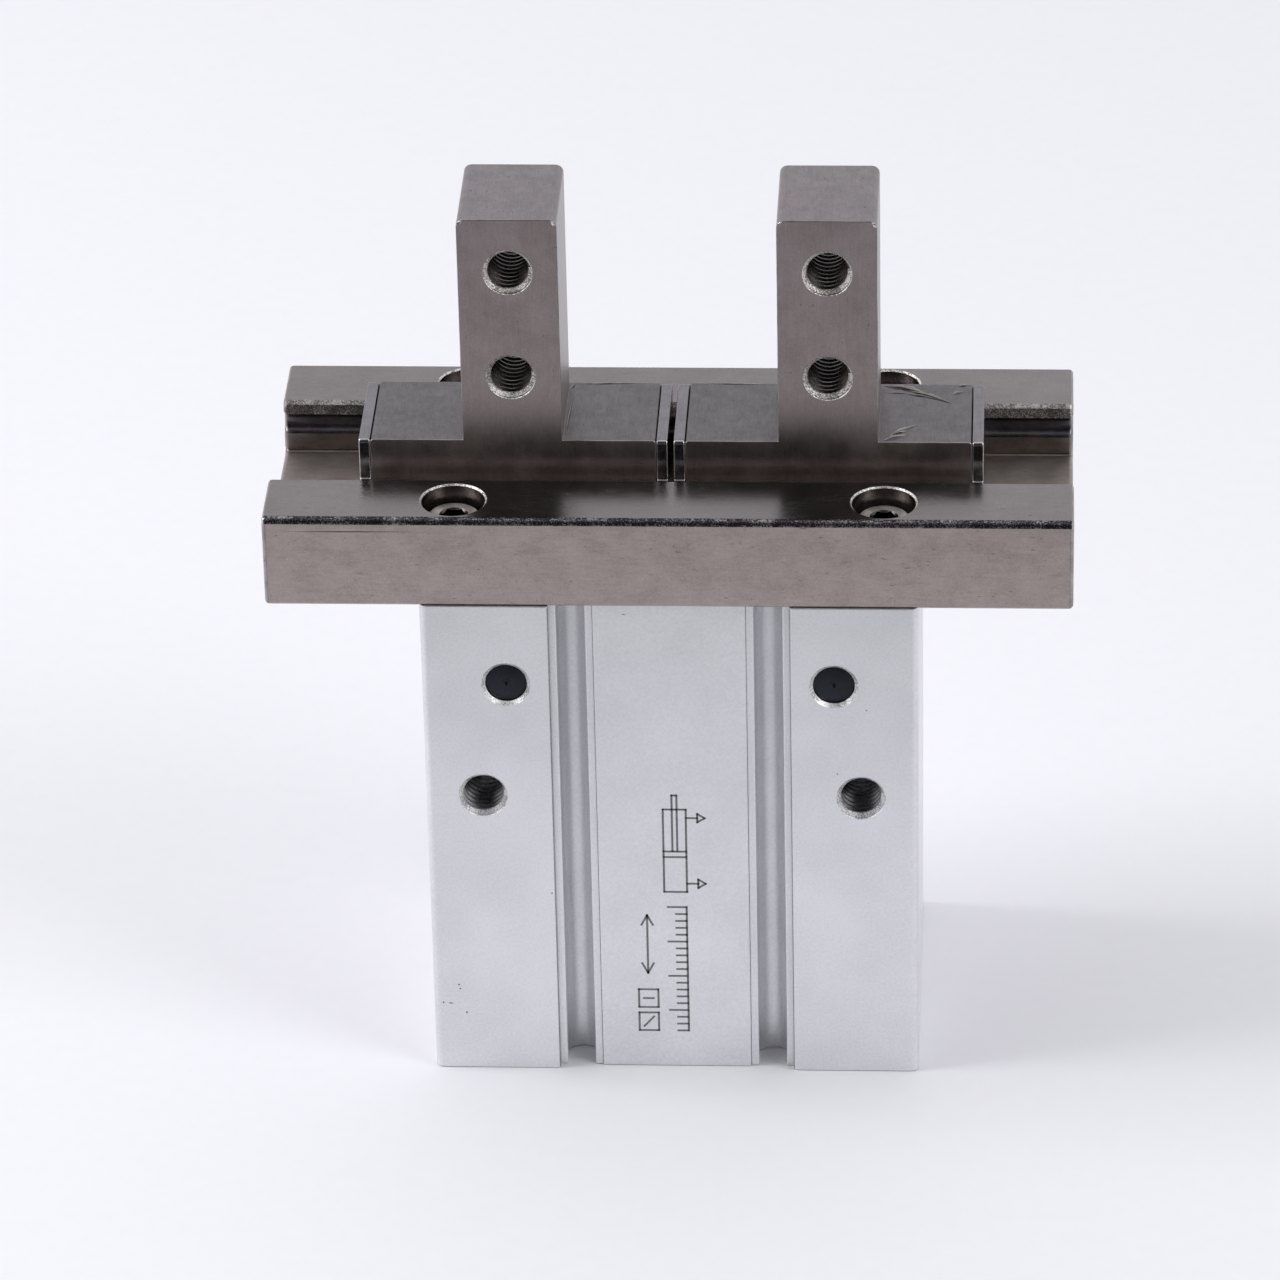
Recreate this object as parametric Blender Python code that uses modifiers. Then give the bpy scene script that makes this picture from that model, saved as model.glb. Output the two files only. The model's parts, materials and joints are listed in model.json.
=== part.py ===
"""Double-acting parallel pneumatic gripper, 32 mm bore, built with its jaws closed.

The frame is in metres: +X runs along the guide rail to the right-hand finger, +Y to the back,
+Z up. The origin is the centre of the body's bottom face. A piston under the levers moves two
bell cranks, whose upper ends push the two fingers apart along the rail.
"""
import math

import bmesh
import bpy
from mathutils import Matrix, Vector

GAP = 0.0003                    # clearance left between neighbouring solids

# Body
BODY_WIDTH = 0.060
BODY_DEPTH = 0.040
BODY_HEIGHT = 0.066
CORNER_CHAMFER = 0.0006
STRIP_HALF = 0.0095             # half width of the set-back middle strip
STRIP_SETBACK = 0.0008
SWITCH_GROOVE_X = 0.0119
SWITCH_GROOVE_RADIUS = 0.0021
SWITCH_MOUTH_HALF = 0.0017
SWITCH_STEP_HALF = 0.0026
SWITCH_STEP_DEPTH = 0.0010
SWITCH_GROOVE_DEPTH = 0.0052

# Bore and what is in it
BORE_RADIUS = 0.016
SPIGOT_RADIUS = 0.017
SPIGOT_DEPTH = 0.002
RING_GROOVE_RADIUS = 0.0169
RING_GROOVE_LOW = 0.0031
RING_GROOVE_HIGH = 0.0047
BORE_TOP = 0.0386
SEAL_SEAT_RADIUS = 0.0098
SEAL_SEAT_TOP = 0.0420
SEAL_LOW = 0.0402
SEAL_HOLDER_HIGH = 0.0399
UPPER_BUMPER_LOW = 0.0371
ROD_HOLE_RADIUS = 0.00725
CAVITY_FLOOR = 0.0438
CAVITY_HALF_X = 0.0271
CAVITY_HALF_Y = 0.0060
ROD_ROOM_RADIUS = 0.0078
CAP_LOW = 0.0050
CAP_HIGH = 0.0110
CAP_RADIUS = 0.0157
CAP_GROOVE_RADIUS = 0.0139
CAP_GROOVE_LOW = 0.0068
CAP_GROOVE_HIGH = 0.0092
CAP_RECESS_RADIUS = 0.0080
LOWER_BUMPER_INNER = 0.0079
LOWER_BUMPER_OUTER = 0.0121
UPPER_BUMPER_INNER = 0.0104
UPPER_BUMPER_OUTER = 0.0136
RING_OUTER = 0.0166
RING_INNER = 0.0146
RING_LUG_REACH = 0.0115         # radius that the two lugs reach in to
RING_THICKNESS = 0.0012
PISTON_LOW = 0.0125
PISTON_HEIGHT = 0.0136
PISTON_RADIUS = 0.0157
PISTON_EDGE = 0.0004
SEAL_GROOVE_RADIUS = 0.0130
SEAL_GROOVE_LOW = 0.0020        # this and the next ones are above the piston's bottom
SEAL_GROOVE_HIGH = 0.0050
MAGNET_GROOVE_RADIUS = 0.0126
MAGNET_GROOVE_LOW = 0.0080
MAGNET_GROOVE_HIGH = 0.0120
BOLT_SEAT = 0.0045
WEB_TOP = 0.0075
BOLT_HEAD_RADIUS = 0.0049
BOLT_SHANK_RADIUS = 0.0024
BOLT_LENGTH = 0.0155
ROD_RADIUS = 0.0070
ROD_SPIGOT_RADIUS = 0.0050
ROD_BORE_RADIUS = 0.0026
ROD_BORE_DEPTH = 0.0120
FORK_SLOT_HALF = 0.0042
FORK_SLOT_DEPTH = 0.0060        # below the rod pins

# Levers
PIVOT_X = 0.0198
PIVOT_Z = 0.0551
SHAFT_RADIUS = 0.0025
SHAFT_RECESS = 0.0006
LEVER_UPPER = 0.0180            # pivot to finger roller
LEVER_INNER = 0.0165            # pivot to rod pin, levers level
LEVER_THICKNESS = 0.0076
PIN_RADIUS = 0.0015
PIN_HOLE_RADIUS = 0.00165
FINGER_ROLLER_RADIUS = 0.0030
ROD_ROLLER_RADIUS = 0.00225
FINGER_TRAVEL = 0.0110          # of each finger
LEVER_SWING = math.asin(FINGER_TRAVEL / 2 / LEVER_UPPER)     # either side of upright
PISTON_STROKE = 2 * LEVER_INNER * math.tan(LEVER_SWING)
ROD_PIN_X = PIVOT_X - LEVER_INNER
ROD_PIN_Z = PIVOT_Z - PISTON_STROKE / 2
ROLLER_X = PIVOT_X - FINGER_TRAVEL / 2
ROLLER_Z = PIVOT_Z + LEVER_UPPER * math.cos(LEVER_SWING)
ROLLER_TOP_Z = PIVOT_Z + LEVER_UPPER + FINGER_ROLLER_RADIUS

# Guide rail
RAIL_LENGTH = 0.097
RAIL_DEPTH = 0.040
RAIL_LOW = BODY_HEIGHT
RAIL_HIGH = 0.0778
RAIL_EDGE = 0.0005
SLOT_HALF = 0.0095
SLOT_EDGE = 0.0006
SLOT_DEPTH = 0.0068
BALL_RADIUS = 0.00125
BALL_GROOVE_RADIUS = 0.00137
BALL_ROW_Y = 0.0092
BALL_ROW_Z = 0.07485
BALLS_PER_ROW = 6
BALL_PITCH = 0.0046
BALL_ROW_X = 0.02175
WINDOW_NEAR = 0.0101
WINDOW_FAR = 0.0297
WINDOW_HALF_Y = 0.0046
SCREW_X = 0.0258
SCREW_Y = 0.0150
COUNTERBORE_RADIUS = 0.0041
COUNTERBORE_DEPTH = 0.0060
SCREW_CLEARANCE_RADIUS = 0.0023
SCREW_TAPPING_RADIUS = 0.0022
SCREW_HOLE_DEPTH = 0.0115
SCREW_HEAD_DROP = 0.0020        # of the head's top below the rail's

# Fingers
FINGER_X = 0.0190
FINGER_HALF = 0.0060
FINGER_HALF_DEPTH = 0.0075
FINGER_TOP = 0.1115
SLIDER_LOW = 0.0714
SLIDER_TOP = 0.0819
SLIDER_HALF = 0.01725
SLIDER_FOOT_TOP = 0.07655       # below this the slider is wide enough to reach the balls
SLIDER_FOOT_HALF = 0.0089
STOPPER_THICKNESS = 0.00125
STOPPER_FOOT_HALF = 0.0092
FINGER_HOLE_DROPS = (0.007, 0.021)      # below the finger's top

# Tapped holes
M6_RADIUS = 0.0025
M6_CHAMFER = 0.00055
M6_DEPTH = 0.0130
FRONT_HOLE_X = 0.0230
FRONT_HOLE_Z = 0.0395
BOTTOM_HOLE_Y = 0.0130
BOTTOM_HOLE_DEPTH = 0.0110
PORT_RADIUS = 0.0021
PORT_DEPTH = 0.0060
PORT_PASSAGE_RADIUS = 0.0011
PORT_CHAMFER = 0.0003
PORT_HEIGHTS = (0.0125, 0.0356)

OVERSHOOT = 0.001               # how far a cutter reaches past the face it cuts
MERGE = 0.00001
LARGE_ROUND = 32                # facets round the bore and what slides in it
MEDIUM_ROUND = 20               # round visible holes, pins and rollers
SMALL_ROUND = 12                # round hidden holes and small pins

TURN = {
    "+Z": Matrix.Identity(4),
    "-Z": Matrix.Rotation(math.pi, 4, "X"),
    "+Y": Matrix.Rotation(-math.pi / 2, 4, "X"),
    "-Y": Matrix.Rotation(math.pi / 2, 4, "X"),
    "+X": Matrix.Rotation(math.pi / 2, 4, "Y"),
    "-X": Matrix.Rotation(-math.pi / 2, 4, "Y"),
}


# ---------------------------------------------------------------- scene and materials

def start():
    for old in list(bpy.data.objects):
        bpy.data.objects.remove(old, do_unlink=True)
    groups = {}
    for name in ("pneumatic_gripper", "cutters"):
        groups[name] = bpy.data.collections.new(name)
        bpy.context.scene.collection.children.link(groups[name])
    return groups["pneumatic_gripper"], groups["cutters"]


PARTS, CUTTERS = start()


def material(name, colour, metallic, roughness):
    made = bpy.data.materials.new(name)
    made.use_nodes = True
    shader = made.node_tree.nodes["Principled BSDF"]
    shader.inputs["Base Color"].default_value = (*colour, 1.0)
    shader.inputs["Metallic"].default_value = metallic
    shader.inputs["Roughness"].default_value = roughness
    return made


ANODISED = material("anodised_aluminium", (0.56, 0.56, 0.60), 0.85, 0.45)
GUIDE_STEEL = material("guide_stainless", (0.29, 0.26, 0.24), 0.95, 0.38)
FINGER_STEEL = material("finger_stainless", (0.27, 0.24, 0.23), 0.95, 0.36)
PLATE_STEEL = material("plate_stainless", (0.40, 0.40, 0.41), 0.95, 0.30)
SCREW_STEEL = material("screw_steel", (0.36, 0.35, 0.33), 0.95, 0.30)
SHAFT_STEEL = material("blackened_steel", (0.02, 0.02, 0.026), 0.6, 0.28)
TOOL_STEEL = material("hardened_steel", (0.42, 0.42, 0.43), 0.95, 0.25)
RUBBER = material("nitrile_rubber", (0.02, 0.02, 0.02), 0.0, 0.6)
MAGNET = material("bonded_magnet", (0.05, 0.045, 0.045), 0.1, 0.55)


# ---------------------------------------------------------------- shape helpers

def add_object(name, mesh, location=(0, 0, 0), finish=None):
    """Link a mesh as a part when it has a finish, or else as a hidden cutter."""
    made = bpy.data.objects.new(name, mesh)
    made.location = location
    if finish is None:
        CUTTERS.objects.link(made)
        made.hide_render = True
        made.display_type = "WIRE"
    else:
        PARTS.objects.link(made)
        made.data.materials.append(finish)
    return made


def mesh_from(name, bm):
    mesh = bpy.data.meshes.new(name)
    bm.to_mesh(mesh)
    bm.free()
    return mesh


def box(name, low, high, finish=None):
    low = Vector(low)
    high = Vector(high)
    bm = bmesh.new()
    bmesh.ops.create_cube(bm, size=1.0)
    bmesh.ops.scale(bm, vec=high - low, verts=bm.verts)
    return add_object(name, mesh_from(name, bm), (low + high) / 2, finish)


def mirror_box(name, half_x, half_y, low_z, high_z, finish=None):
    """A box centred on the Z axis."""
    return box(name, (-half_x, -half_y, low_z), (half_x, half_y, high_z), finish)


def round_bar(name, radius, length, centre, axis="+Z", segments=SMALL_ROUND, finish=None):
    bm = bmesh.new()
    bmesh.ops.create_cone(bm, cap_ends=True, segments=segments, radius1=radius,
                          radius2=radius, depth=length)
    bmesh.ops.transform(bm, matrix=TURN[axis], verts=bm.verts)
    return smooth(add_object(name, mesh_from(name, bm), centre, finish))


def smooth(part):
    part.data.shade_smooth()
    part.data.set_sharp_from_angle(angle=math.radians(35))
    return part


def settled(source):
    """The mesh that an object's modifiers or curve make, with the object removed."""
    bpy.context.view_layer.update()
    graph = bpy.context.evaluated_depsgraph_get()
    mesh = bpy.data.meshes.new_from_object(source.evaluated_get(graph))
    bpy.data.objects.remove(source, do_unlink=True)
    return mesh


def turned(name, profile, location=(0, 0, 0), axis="+Z", segments=MEDIUM_ROUND, closed=False,
           finish=None):
    """Turn (radius, height) points, listed down the outer side, about the given axis."""
    line = bpy.data.meshes.new(name)
    edges = [(i, i + 1) for i in range(len(profile) - 1)]
    if closed:
        edges.append((len(profile) - 1, 0))
    line.from_pydata([(r, 0.0, z) for r, z in profile], edges, [])
    shape = add_object(name + "_profile", line)
    screw = shape.modifiers.new("turn", "SCREW")
    screw.steps = segments
    screw.render_steps = segments
    screw.use_merge_vertices = True
    screw.merge_threshold = MERGE
    made = add_object(name, settled(shape), location, finish)
    made.rotation_euler = TURN[axis].to_euler()
    return smooth(made)


def ring(name, inner, outer, low, high, edge=0.0, location=(0, 0, 0), axis="+Z",
         segments=MEDIUM_ROUND, finish=None):
    """A turned ring; edge is the chamfer on its outer and inner corners."""
    profile = [(outer - edge, high), (outer, high - edge), (outer, low + edge),
               (outer - edge, low), (inner + edge, low), (inner, low + edge),
               (inner, high - edge), (inner + edge, high)]
    if edge == 0.0:
        profile = [(outer, high), (outer, low), (inner, low), (inner, high)]
    return turned(name, profile, location, axis, segments, True, finish)


def arc(centre, radius, start_deg, end_deg, steps):
    """Points along an arc, both ends included."""
    points = []
    for i in range(steps + 1):
        angle = math.radians(start_deg + (end_deg - start_deg) * i / steps)
        points.append((centre[0] + radius * math.cos(angle), centre[1] + radius * math.sin(angle)))
    return points


def plate(name, outline, thickness, plane, location=(0, 0, 0), tilt=0.0, finish=None):
    """Extrude a flat outline about its own plane.

    The outline's two axes are X and Z for plane "XZ", Y and Z for "YZ", X and Y for "XY".
    tilt turns the finished plate about +Y, in its own origin.
    """
    curve = bpy.data.curves.new(name, "CURVE")
    curve.dimensions = "2D"
    curve.fill_mode = "BOTH"
    curve.extrude = thickness / 2
    spline = curve.splines.new("POLY")
    spline.points.add(len(outline) - 1)
    for point, (u, v) in zip(spline.points, outline):
        point.co = (u, v, 0.0, 1.0)
    spline.use_cyclic_u = True
    shape = bpy.data.objects.new(name + "_outline", curve)
    CUTTERS.objects.link(shape)
    mesh = settled(shape)
    stand = {
        "XY": Matrix.Identity(4),
        "XZ": Matrix.Rotation(math.pi / 2, 4, "X"),
        "YZ": Matrix.Rotation(math.pi / 2, 4, "Z") @ Matrix.Rotation(math.pi / 2, 4, "X"),
    }[plane]
    bm = bmesh.new()
    bm.from_mesh(mesh)
    bmesh.ops.remove_doubles(bm, verts=bm.verts, dist=MERGE)
    bmesh.ops.transform(bm, matrix=Matrix.Rotation(tilt, 4, "Y") @ stand, verts=bm.verts)
    bmesh.ops.recalc_face_normals(bm, faces=bm.faces)
    bm.to_mesh(mesh)
    bm.free()
    return add_object(name, mesh, location, finish)


def bevel(part, width, segments=1, angle_deg=40):
    made = part.modifiers.new("bevel", "BEVEL")
    made.width = width
    made.segments = segments
    made.limit_method = "ANGLE"
    made.angle_limit = math.radians(angle_deg)
    return part


def cut(part, *cutters, operation="DIFFERENCE"):
    for cutter in cutters:
        made = part.modifiers.new("cut_" + cutter.name, "BOOLEAN")
        made.operation = operation
        made.solver = "EXACT"
        made.object = cutter
    return part


def hole(name, mouth, axis, radius, depth, chamfer=0.0, segments=SMALL_ROUND):
    """A blind hole's cutter: mouth is on the face, axis points out of it."""
    profile = [(0.0, OVERSHOOT), (radius + chamfer + OVERSHOOT * (chamfer > 0), OVERSHOOT),
               (radius, -chamfer), (radius, -depth), (0.0, -depth)]
    return turned(name, profile, mouth, axis, segments)


def through_hole(name, centre, axis, radius, half_length, chamfer, segments=MEDIUM_ROUND):
    """A hole right through, with both mouths chamfered."""
    flare = radius + chamfer + OVERSHOOT
    profile = [(0.0, half_length + OVERSHOOT), (flare, half_length + OVERSHOOT),
               (radius, half_length - chamfer), (radius, chamfer - half_length),
               (flare, -half_length - OVERSHOOT), (0.0, -half_length - OVERSHOOT)]
    return turned(name, profile, centre, axis, segments)


def axis_frame(name, location):
    """An empty on a joint's axis, the parent of the pieces that move with it."""
    made = bpy.data.objects.new(name, None)
    made.location = location
    made.empty_display_size = 0.01
    PARTS.objects.link(made)
    return made


def carry(frame, *pieces):
    for piece in pieces:
        piece.parent = frame
        piece.matrix_parent_inverse = Matrix.Translation(-Vector(frame.location))


# ---------------------------------------------------------------- body and rail

def switch_groove(name, x, side):
    """The keyhole-shaped switch groove, cut up the whole height of one face."""
    centre = (0.0, SWITCH_GROOVE_RADIUS - SWITCH_GROOVE_DEPTH)
    lip = math.degrees(math.acos(SWITCH_MOUTH_HALF / SWITCH_GROOVE_RADIUS))
    outline = [(SWITCH_STEP_HALF, OVERSHOOT), (-SWITCH_STEP_HALF, OVERSHOOT),
               (-SWITCH_STEP_HALF, -SWITCH_STEP_DEPTH), (-SWITCH_MOUTH_HALF, -SWITCH_STEP_DEPTH)]
    outline += arc(centre, SWITCH_GROOVE_RADIUS, 180 - lip, 360 + lip, 9)
    outline += [(SWITCH_MOUTH_HALF, -SWITCH_STEP_DEPTH), (SWITCH_STEP_HALF, -SWITCH_STEP_DEPTH)]
    outline = [(u, -side * -v) for u, v in outline]
    return plate(name, outline, BODY_HEIGHT + 2 * OVERSHOOT, "XY",
                 (x, side * BODY_DEPTH / 2, BODY_HEIGHT / 2))


def make_body():
    top = BODY_HEIGHT - GAP
    body = mirror_box("body", BODY_WIDTH / 2, BODY_DEPTH / 2, 0.0, top, ANODISED)
    bevel(body, CORNER_CHAMFER)
    half = BODY_DEPTH / 2
    for side, label in ((-1, "front"), (1, "back")):
        face = side * (half - STRIP_SETBACK)
        past = side * (half + OVERSHOOT)
        cut(body, box(f"strip_{label}", (-STRIP_HALF, min(face, past), -OVERSHOOT),
                      (STRIP_HALF, max(face, past), BODY_HEIGHT + OVERSHOOT)))
        for x in (-SWITCH_GROOVE_X, SWITCH_GROOVE_X):
            cut(body, switch_groove(f"groove_{label}", x, side))
        for x in (-FRONT_HOLE_X, FRONT_HOLE_X):
            cut(body, hole(f"tapped_{label}", (x, side * half, FRONT_HOLE_Z),
                           "+Y" if side > 0 else "-Y", M6_RADIUS, M6_DEPTH, M6_CHAMFER,
                           MEDIUM_ROUND))
    bore = [(0.0, BODY_HEIGHT + OVERSHOOT), (ROD_ROOM_RADIUS, BODY_HEIGHT + OVERSHOOT),
            (ROD_ROOM_RADIUS, CAVITY_FLOOR), (ROD_HOLE_RADIUS, CAVITY_FLOOR),
            (ROD_HOLE_RADIUS, SEAL_SEAT_TOP), (SEAL_SEAT_RADIUS, SEAL_SEAT_TOP),
            (SEAL_SEAT_RADIUS, BORE_TOP), (BORE_RADIUS, BORE_TOP),
            (BORE_RADIUS, RING_GROOVE_HIGH), (RING_GROOVE_RADIUS, RING_GROOVE_HIGH),
            (RING_GROOVE_RADIUS, RING_GROOVE_LOW), (BORE_RADIUS, RING_GROOVE_LOW),
            (BORE_RADIUS, SPIGOT_DEPTH), (SPIGOT_RADIUS, SPIGOT_DEPTH),
            (SPIGOT_RADIUS, -OVERSHOOT), (0.0, -OVERSHOOT)]
    cut(body, turned("bore", bore, segments=LARGE_ROUND))
    cut(body, mirror_box("lever_cavity", CAVITY_HALF_X, CAVITY_HALF_Y, CAVITY_FLOOR + 0.0001,
                         BODY_HEIGHT + OVERSHOOT))
    for x in (-PIVOT_X, PIVOT_X):
        cut(body, through_hole("shaft_hole", (x, 0, PIVOT_Z), "+Y", SHAFT_RADIUS + GAP / 2,
                               half, 0.0002))
    for x in (-SCREW_X, SCREW_X):
        for y in (-SCREW_Y, SCREW_Y):
            cut(body, hole("rail_screw_hole", (x, y, top), "+Z", SCREW_TAPPING_RADIUS,
                           SCREW_HOLE_DEPTH))
    for x in (-FRONT_HOLE_X, FRONT_HOLE_X):
        for y in (-BOTTOM_HOLE_Y, BOTTOM_HOLE_Y):
            cut(body, hole("base_hole", (x, y, 0), "-Z", M6_RADIUS, BOTTOM_HOLE_DEPTH,
                           M6_CHAMFER))
    wall = BODY_WIDTH / 2
    for z in PORT_HEIGHTS:
        port = [(0.0, OVERSHOOT), (PORT_RADIUS + PORT_CHAMFER + OVERSHOOT, OVERSHOOT),
                (PORT_RADIUS, -PORT_CHAMFER), (PORT_RADIUS, -PORT_DEPTH),
                (PORT_PASSAGE_RADIUS, -PORT_DEPTH),
                (PORT_PASSAGE_RADIUS, BORE_RADIUS - wall - OVERSHOOT),
                (0.0, BORE_RADIUS - wall - OVERSHOOT)]
        cut(body, turned("port", port, (-wall, 0, z), "-X", SMALL_ROUND))
    return body


def slot_outline():
    """Cross-section of the rail's slot: broken top edges and one ball groove a side."""
    reach = math.degrees(math.acos((SLOT_HALF - BALL_ROW_Y) / BALL_GROOVE_RADIUS))
    right = [(SLOT_HALF + SLOT_EDGE + OVERSHOOT, RAIL_HIGH + OVERSHOOT),
             (SLOT_HALF, RAIL_HIGH - SLOT_EDGE)]
    right += arc((BALL_ROW_Y, BALL_ROW_Z), BALL_GROOVE_RADIUS, reach, -reach, 6)
    right.append((SLOT_HALF, RAIL_HIGH - SLOT_DEPTH))
    return right + [(-u, v) for u, v in reversed(right)]


def make_rail():
    rail = mirror_box("guide_rail", RAIL_LENGTH / 2, RAIL_DEPTH / 2, RAIL_LOW, RAIL_HIGH,
                      GUIDE_STEEL)
    bevel(rail, RAIL_EDGE, 2)
    cut(rail, plate("slot", slot_outline(), RAIL_LENGTH + 2 * OVERSHOOT, "YZ"))
    for sign in (-1, 1):
        near, far = sorted((sign * WINDOW_NEAR, sign * WINDOW_FAR))
        cut(rail, box("lever_window", (near, -WINDOW_HALF_Y, RAIL_LOW - OVERSHOOT),
                      (far, WINDOW_HALF_Y, RAIL_HIGH - SLOT_DEPTH + OVERSHOOT)))
        for y in (-SCREW_Y, SCREW_Y):
            flare = COUNTERBORE_RADIUS + GAP / 2
            profile = [(0.0, OVERSHOOT), (flare + OVERSHOOT, OVERSHOOT),
                       (COUNTERBORE_RADIUS, -GAP / 2), (COUNTERBORE_RADIUS, -COUNTERBORE_DEPTH),
                       (SCREW_CLEARANCE_RADIUS, -COUNTERBORE_DEPTH),
                       (SCREW_CLEARANCE_RADIUS, RAIL_LOW - RAIL_HIGH - OVERSHOOT),
                       (0.0, RAIL_LOW - RAIL_HIGH - OVERSHOOT)]
            cut(rail, turned("counterbore", profile, (sign * SCREW_X, y, RAIL_HIGH), "+Z"))
    return rail


def socket_screw(name, location, head_radius, head_height, shank_radius, length, socket, axis):
    """A socket head cap screw. location is the centre of its head's top."""
    edge = 0.0003
    profile = [(0.0, 0.0), (head_radius - edge, 0.0), (head_radius, -edge),
               (head_radius, -head_height), (shank_radius, -head_height),
               (shank_radius, edge - length), (shank_radius - edge, -length), (0.0, -length)]
    screw = turned(name, profile, location, axis, 16, finish=SCREW_STEEL)
    depth = head_height / 2
    centre = Vector(location) - TURN[axis] @ Vector((0, 0, depth / 2 - OVERSHOOT / 2))
    cut(screw, round_bar(name + "_socket", socket / math.sqrt(3), depth + OVERSHOOT, centre,
                         axis, 6))
    return screw


def make_rail_screws():
    top = RAIL_HIGH - SCREW_HEAD_DROP
    for x, side in ((-SCREW_X, "left"), (SCREW_X, "right")):
        for y, face in ((-SCREW_Y, "front"), (SCREW_Y, "back")):
            socket_screw(f"rail_screw_{face}_{side}", (x, y, top), 0.0035, 0.0037, 0.00195,
                         0.0175, 0.0030, "+Z")


def make_lever_shafts():
    half = BODY_DEPTH / 2 - SHAFT_RECESS
    edge = 0.00025
    dimple = 0.0004
    for x, side in ((-PIVOT_X, "left"), (PIVOT_X, "right")):
        profile = [(0.0, half - dimple), (dimple, half), (SHAFT_RADIUS - edge, half),
                   (SHAFT_RADIUS, half - edge), (SHAFT_RADIUS, edge - half),
                   (SHAFT_RADIUS - edge, -half), (dimple, -half), (0.0, dimple - half)]
        turned(f"lever_shaft_{side}", profile, (x, 0, PIVOT_Z), "+Y", 16, finish=SHAFT_STEEL)


# ---------------------------------------------------------------- pressure chamber

def make_end_cap():
    seat_floor = CAP_HIGH - 0.0010          # of the ring-shaped recess that holds the bumper
    recess_roof = CAP_LOW + 0.0015
    edge = CAP_RADIUS - GAP
    seat_inner = LOWER_BUMPER_INNER - GAP
    seat_outer = LOWER_BUMPER_OUTER + GAP
    profile = [(0.0, CAP_HIGH), (seat_inner, CAP_HIGH), (seat_inner, seat_floor),
               (seat_outer, seat_floor), (seat_outer, CAP_HIGH), (edge, CAP_HIGH),
               (CAP_RADIUS, CAP_HIGH - GAP), (CAP_RADIUS, CAP_GROOVE_HIGH),
               (CAP_GROOVE_RADIUS, CAP_GROOVE_HIGH), (CAP_GROOVE_RADIUS, CAP_GROOVE_LOW),
               (CAP_RADIUS, CAP_GROOVE_LOW), (CAP_RADIUS, CAP_LOW + GAP), (edge, CAP_LOW),
               (CAP_RECESS_RADIUS + GAP, CAP_LOW), (CAP_RECESS_RADIUS, recess_roof),
               (0.0, recess_roof)]
    turned("end_cap", profile, segments=LARGE_ROUND, finish=ANODISED)
    cord_radius = 0.0008
    middle = (CAP_GROOVE_RADIUS + cord_radius + 0.0002, (CAP_GROOVE_LOW + CAP_GROOVE_HIGH) / 2)
    turned("cap_gasket", arc(middle, cord_radius, 90, -210, 5), closed=True, finish=RUBBER)
    ring("lower_bumper", LOWER_BUMPER_INNER, LOWER_BUMPER_OUTER, seat_floor + GAP,
         PISTON_LOW - GAP, finish=RUBBER)


def make_retaining_ring():
    """An internal C-type ring whose two lugs point inwards beside its gap."""
    outline = arc((0, 0), RING_OUTER, -78, 258, 28)
    outline += arc((0, 0), RING_LUG_REACH, 258, 248, 2)
    outline += arc((0, 0), RING_INNER, 243, -63, 24)
    outline += arc((0, 0), RING_LUG_REACH, -68, -78, 2)
    middle = (RING_GROOVE_LOW + RING_GROOVE_HIGH) / 2
    snap = plate("retaining_ring", outline, RING_THICKNESS, "XY", (0, 0, middle),
                 finish=TOOL_STEEL)
    for angle in (-73, 253):
        x, y = arc((0, 0), (RING_OUTER + RING_LUG_REACH) / 2 - GAP, angle, angle, 1)[0]
        cut(snap, round_bar("lug_hole", 0.0007, 3 * RING_THICKNESS, (x, y, middle), segments=8))


def make_rod_gland():
    snug = 0.0002
    ring("rod_seal", ROD_RADIUS + snug / 2, SEAL_SEAT_RADIUS - snug, SEAL_LOW,
         SEAL_SEAT_TOP - snug, finish=RUBBER)
    ring("seal_holder", ROD_RADIUS + GAP, SEAL_SEAT_RADIUS - snug, BORE_TOP + snug,
         SEAL_HOLDER_HIGH, finish=TOOL_STEEL)
    ring("upper_bumper", UPPER_BUMPER_INNER, UPPER_BUMPER_OUTER, UPPER_BUMPER_LOW,
         BORE_TOP - snug, finish=RUBBER)


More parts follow.
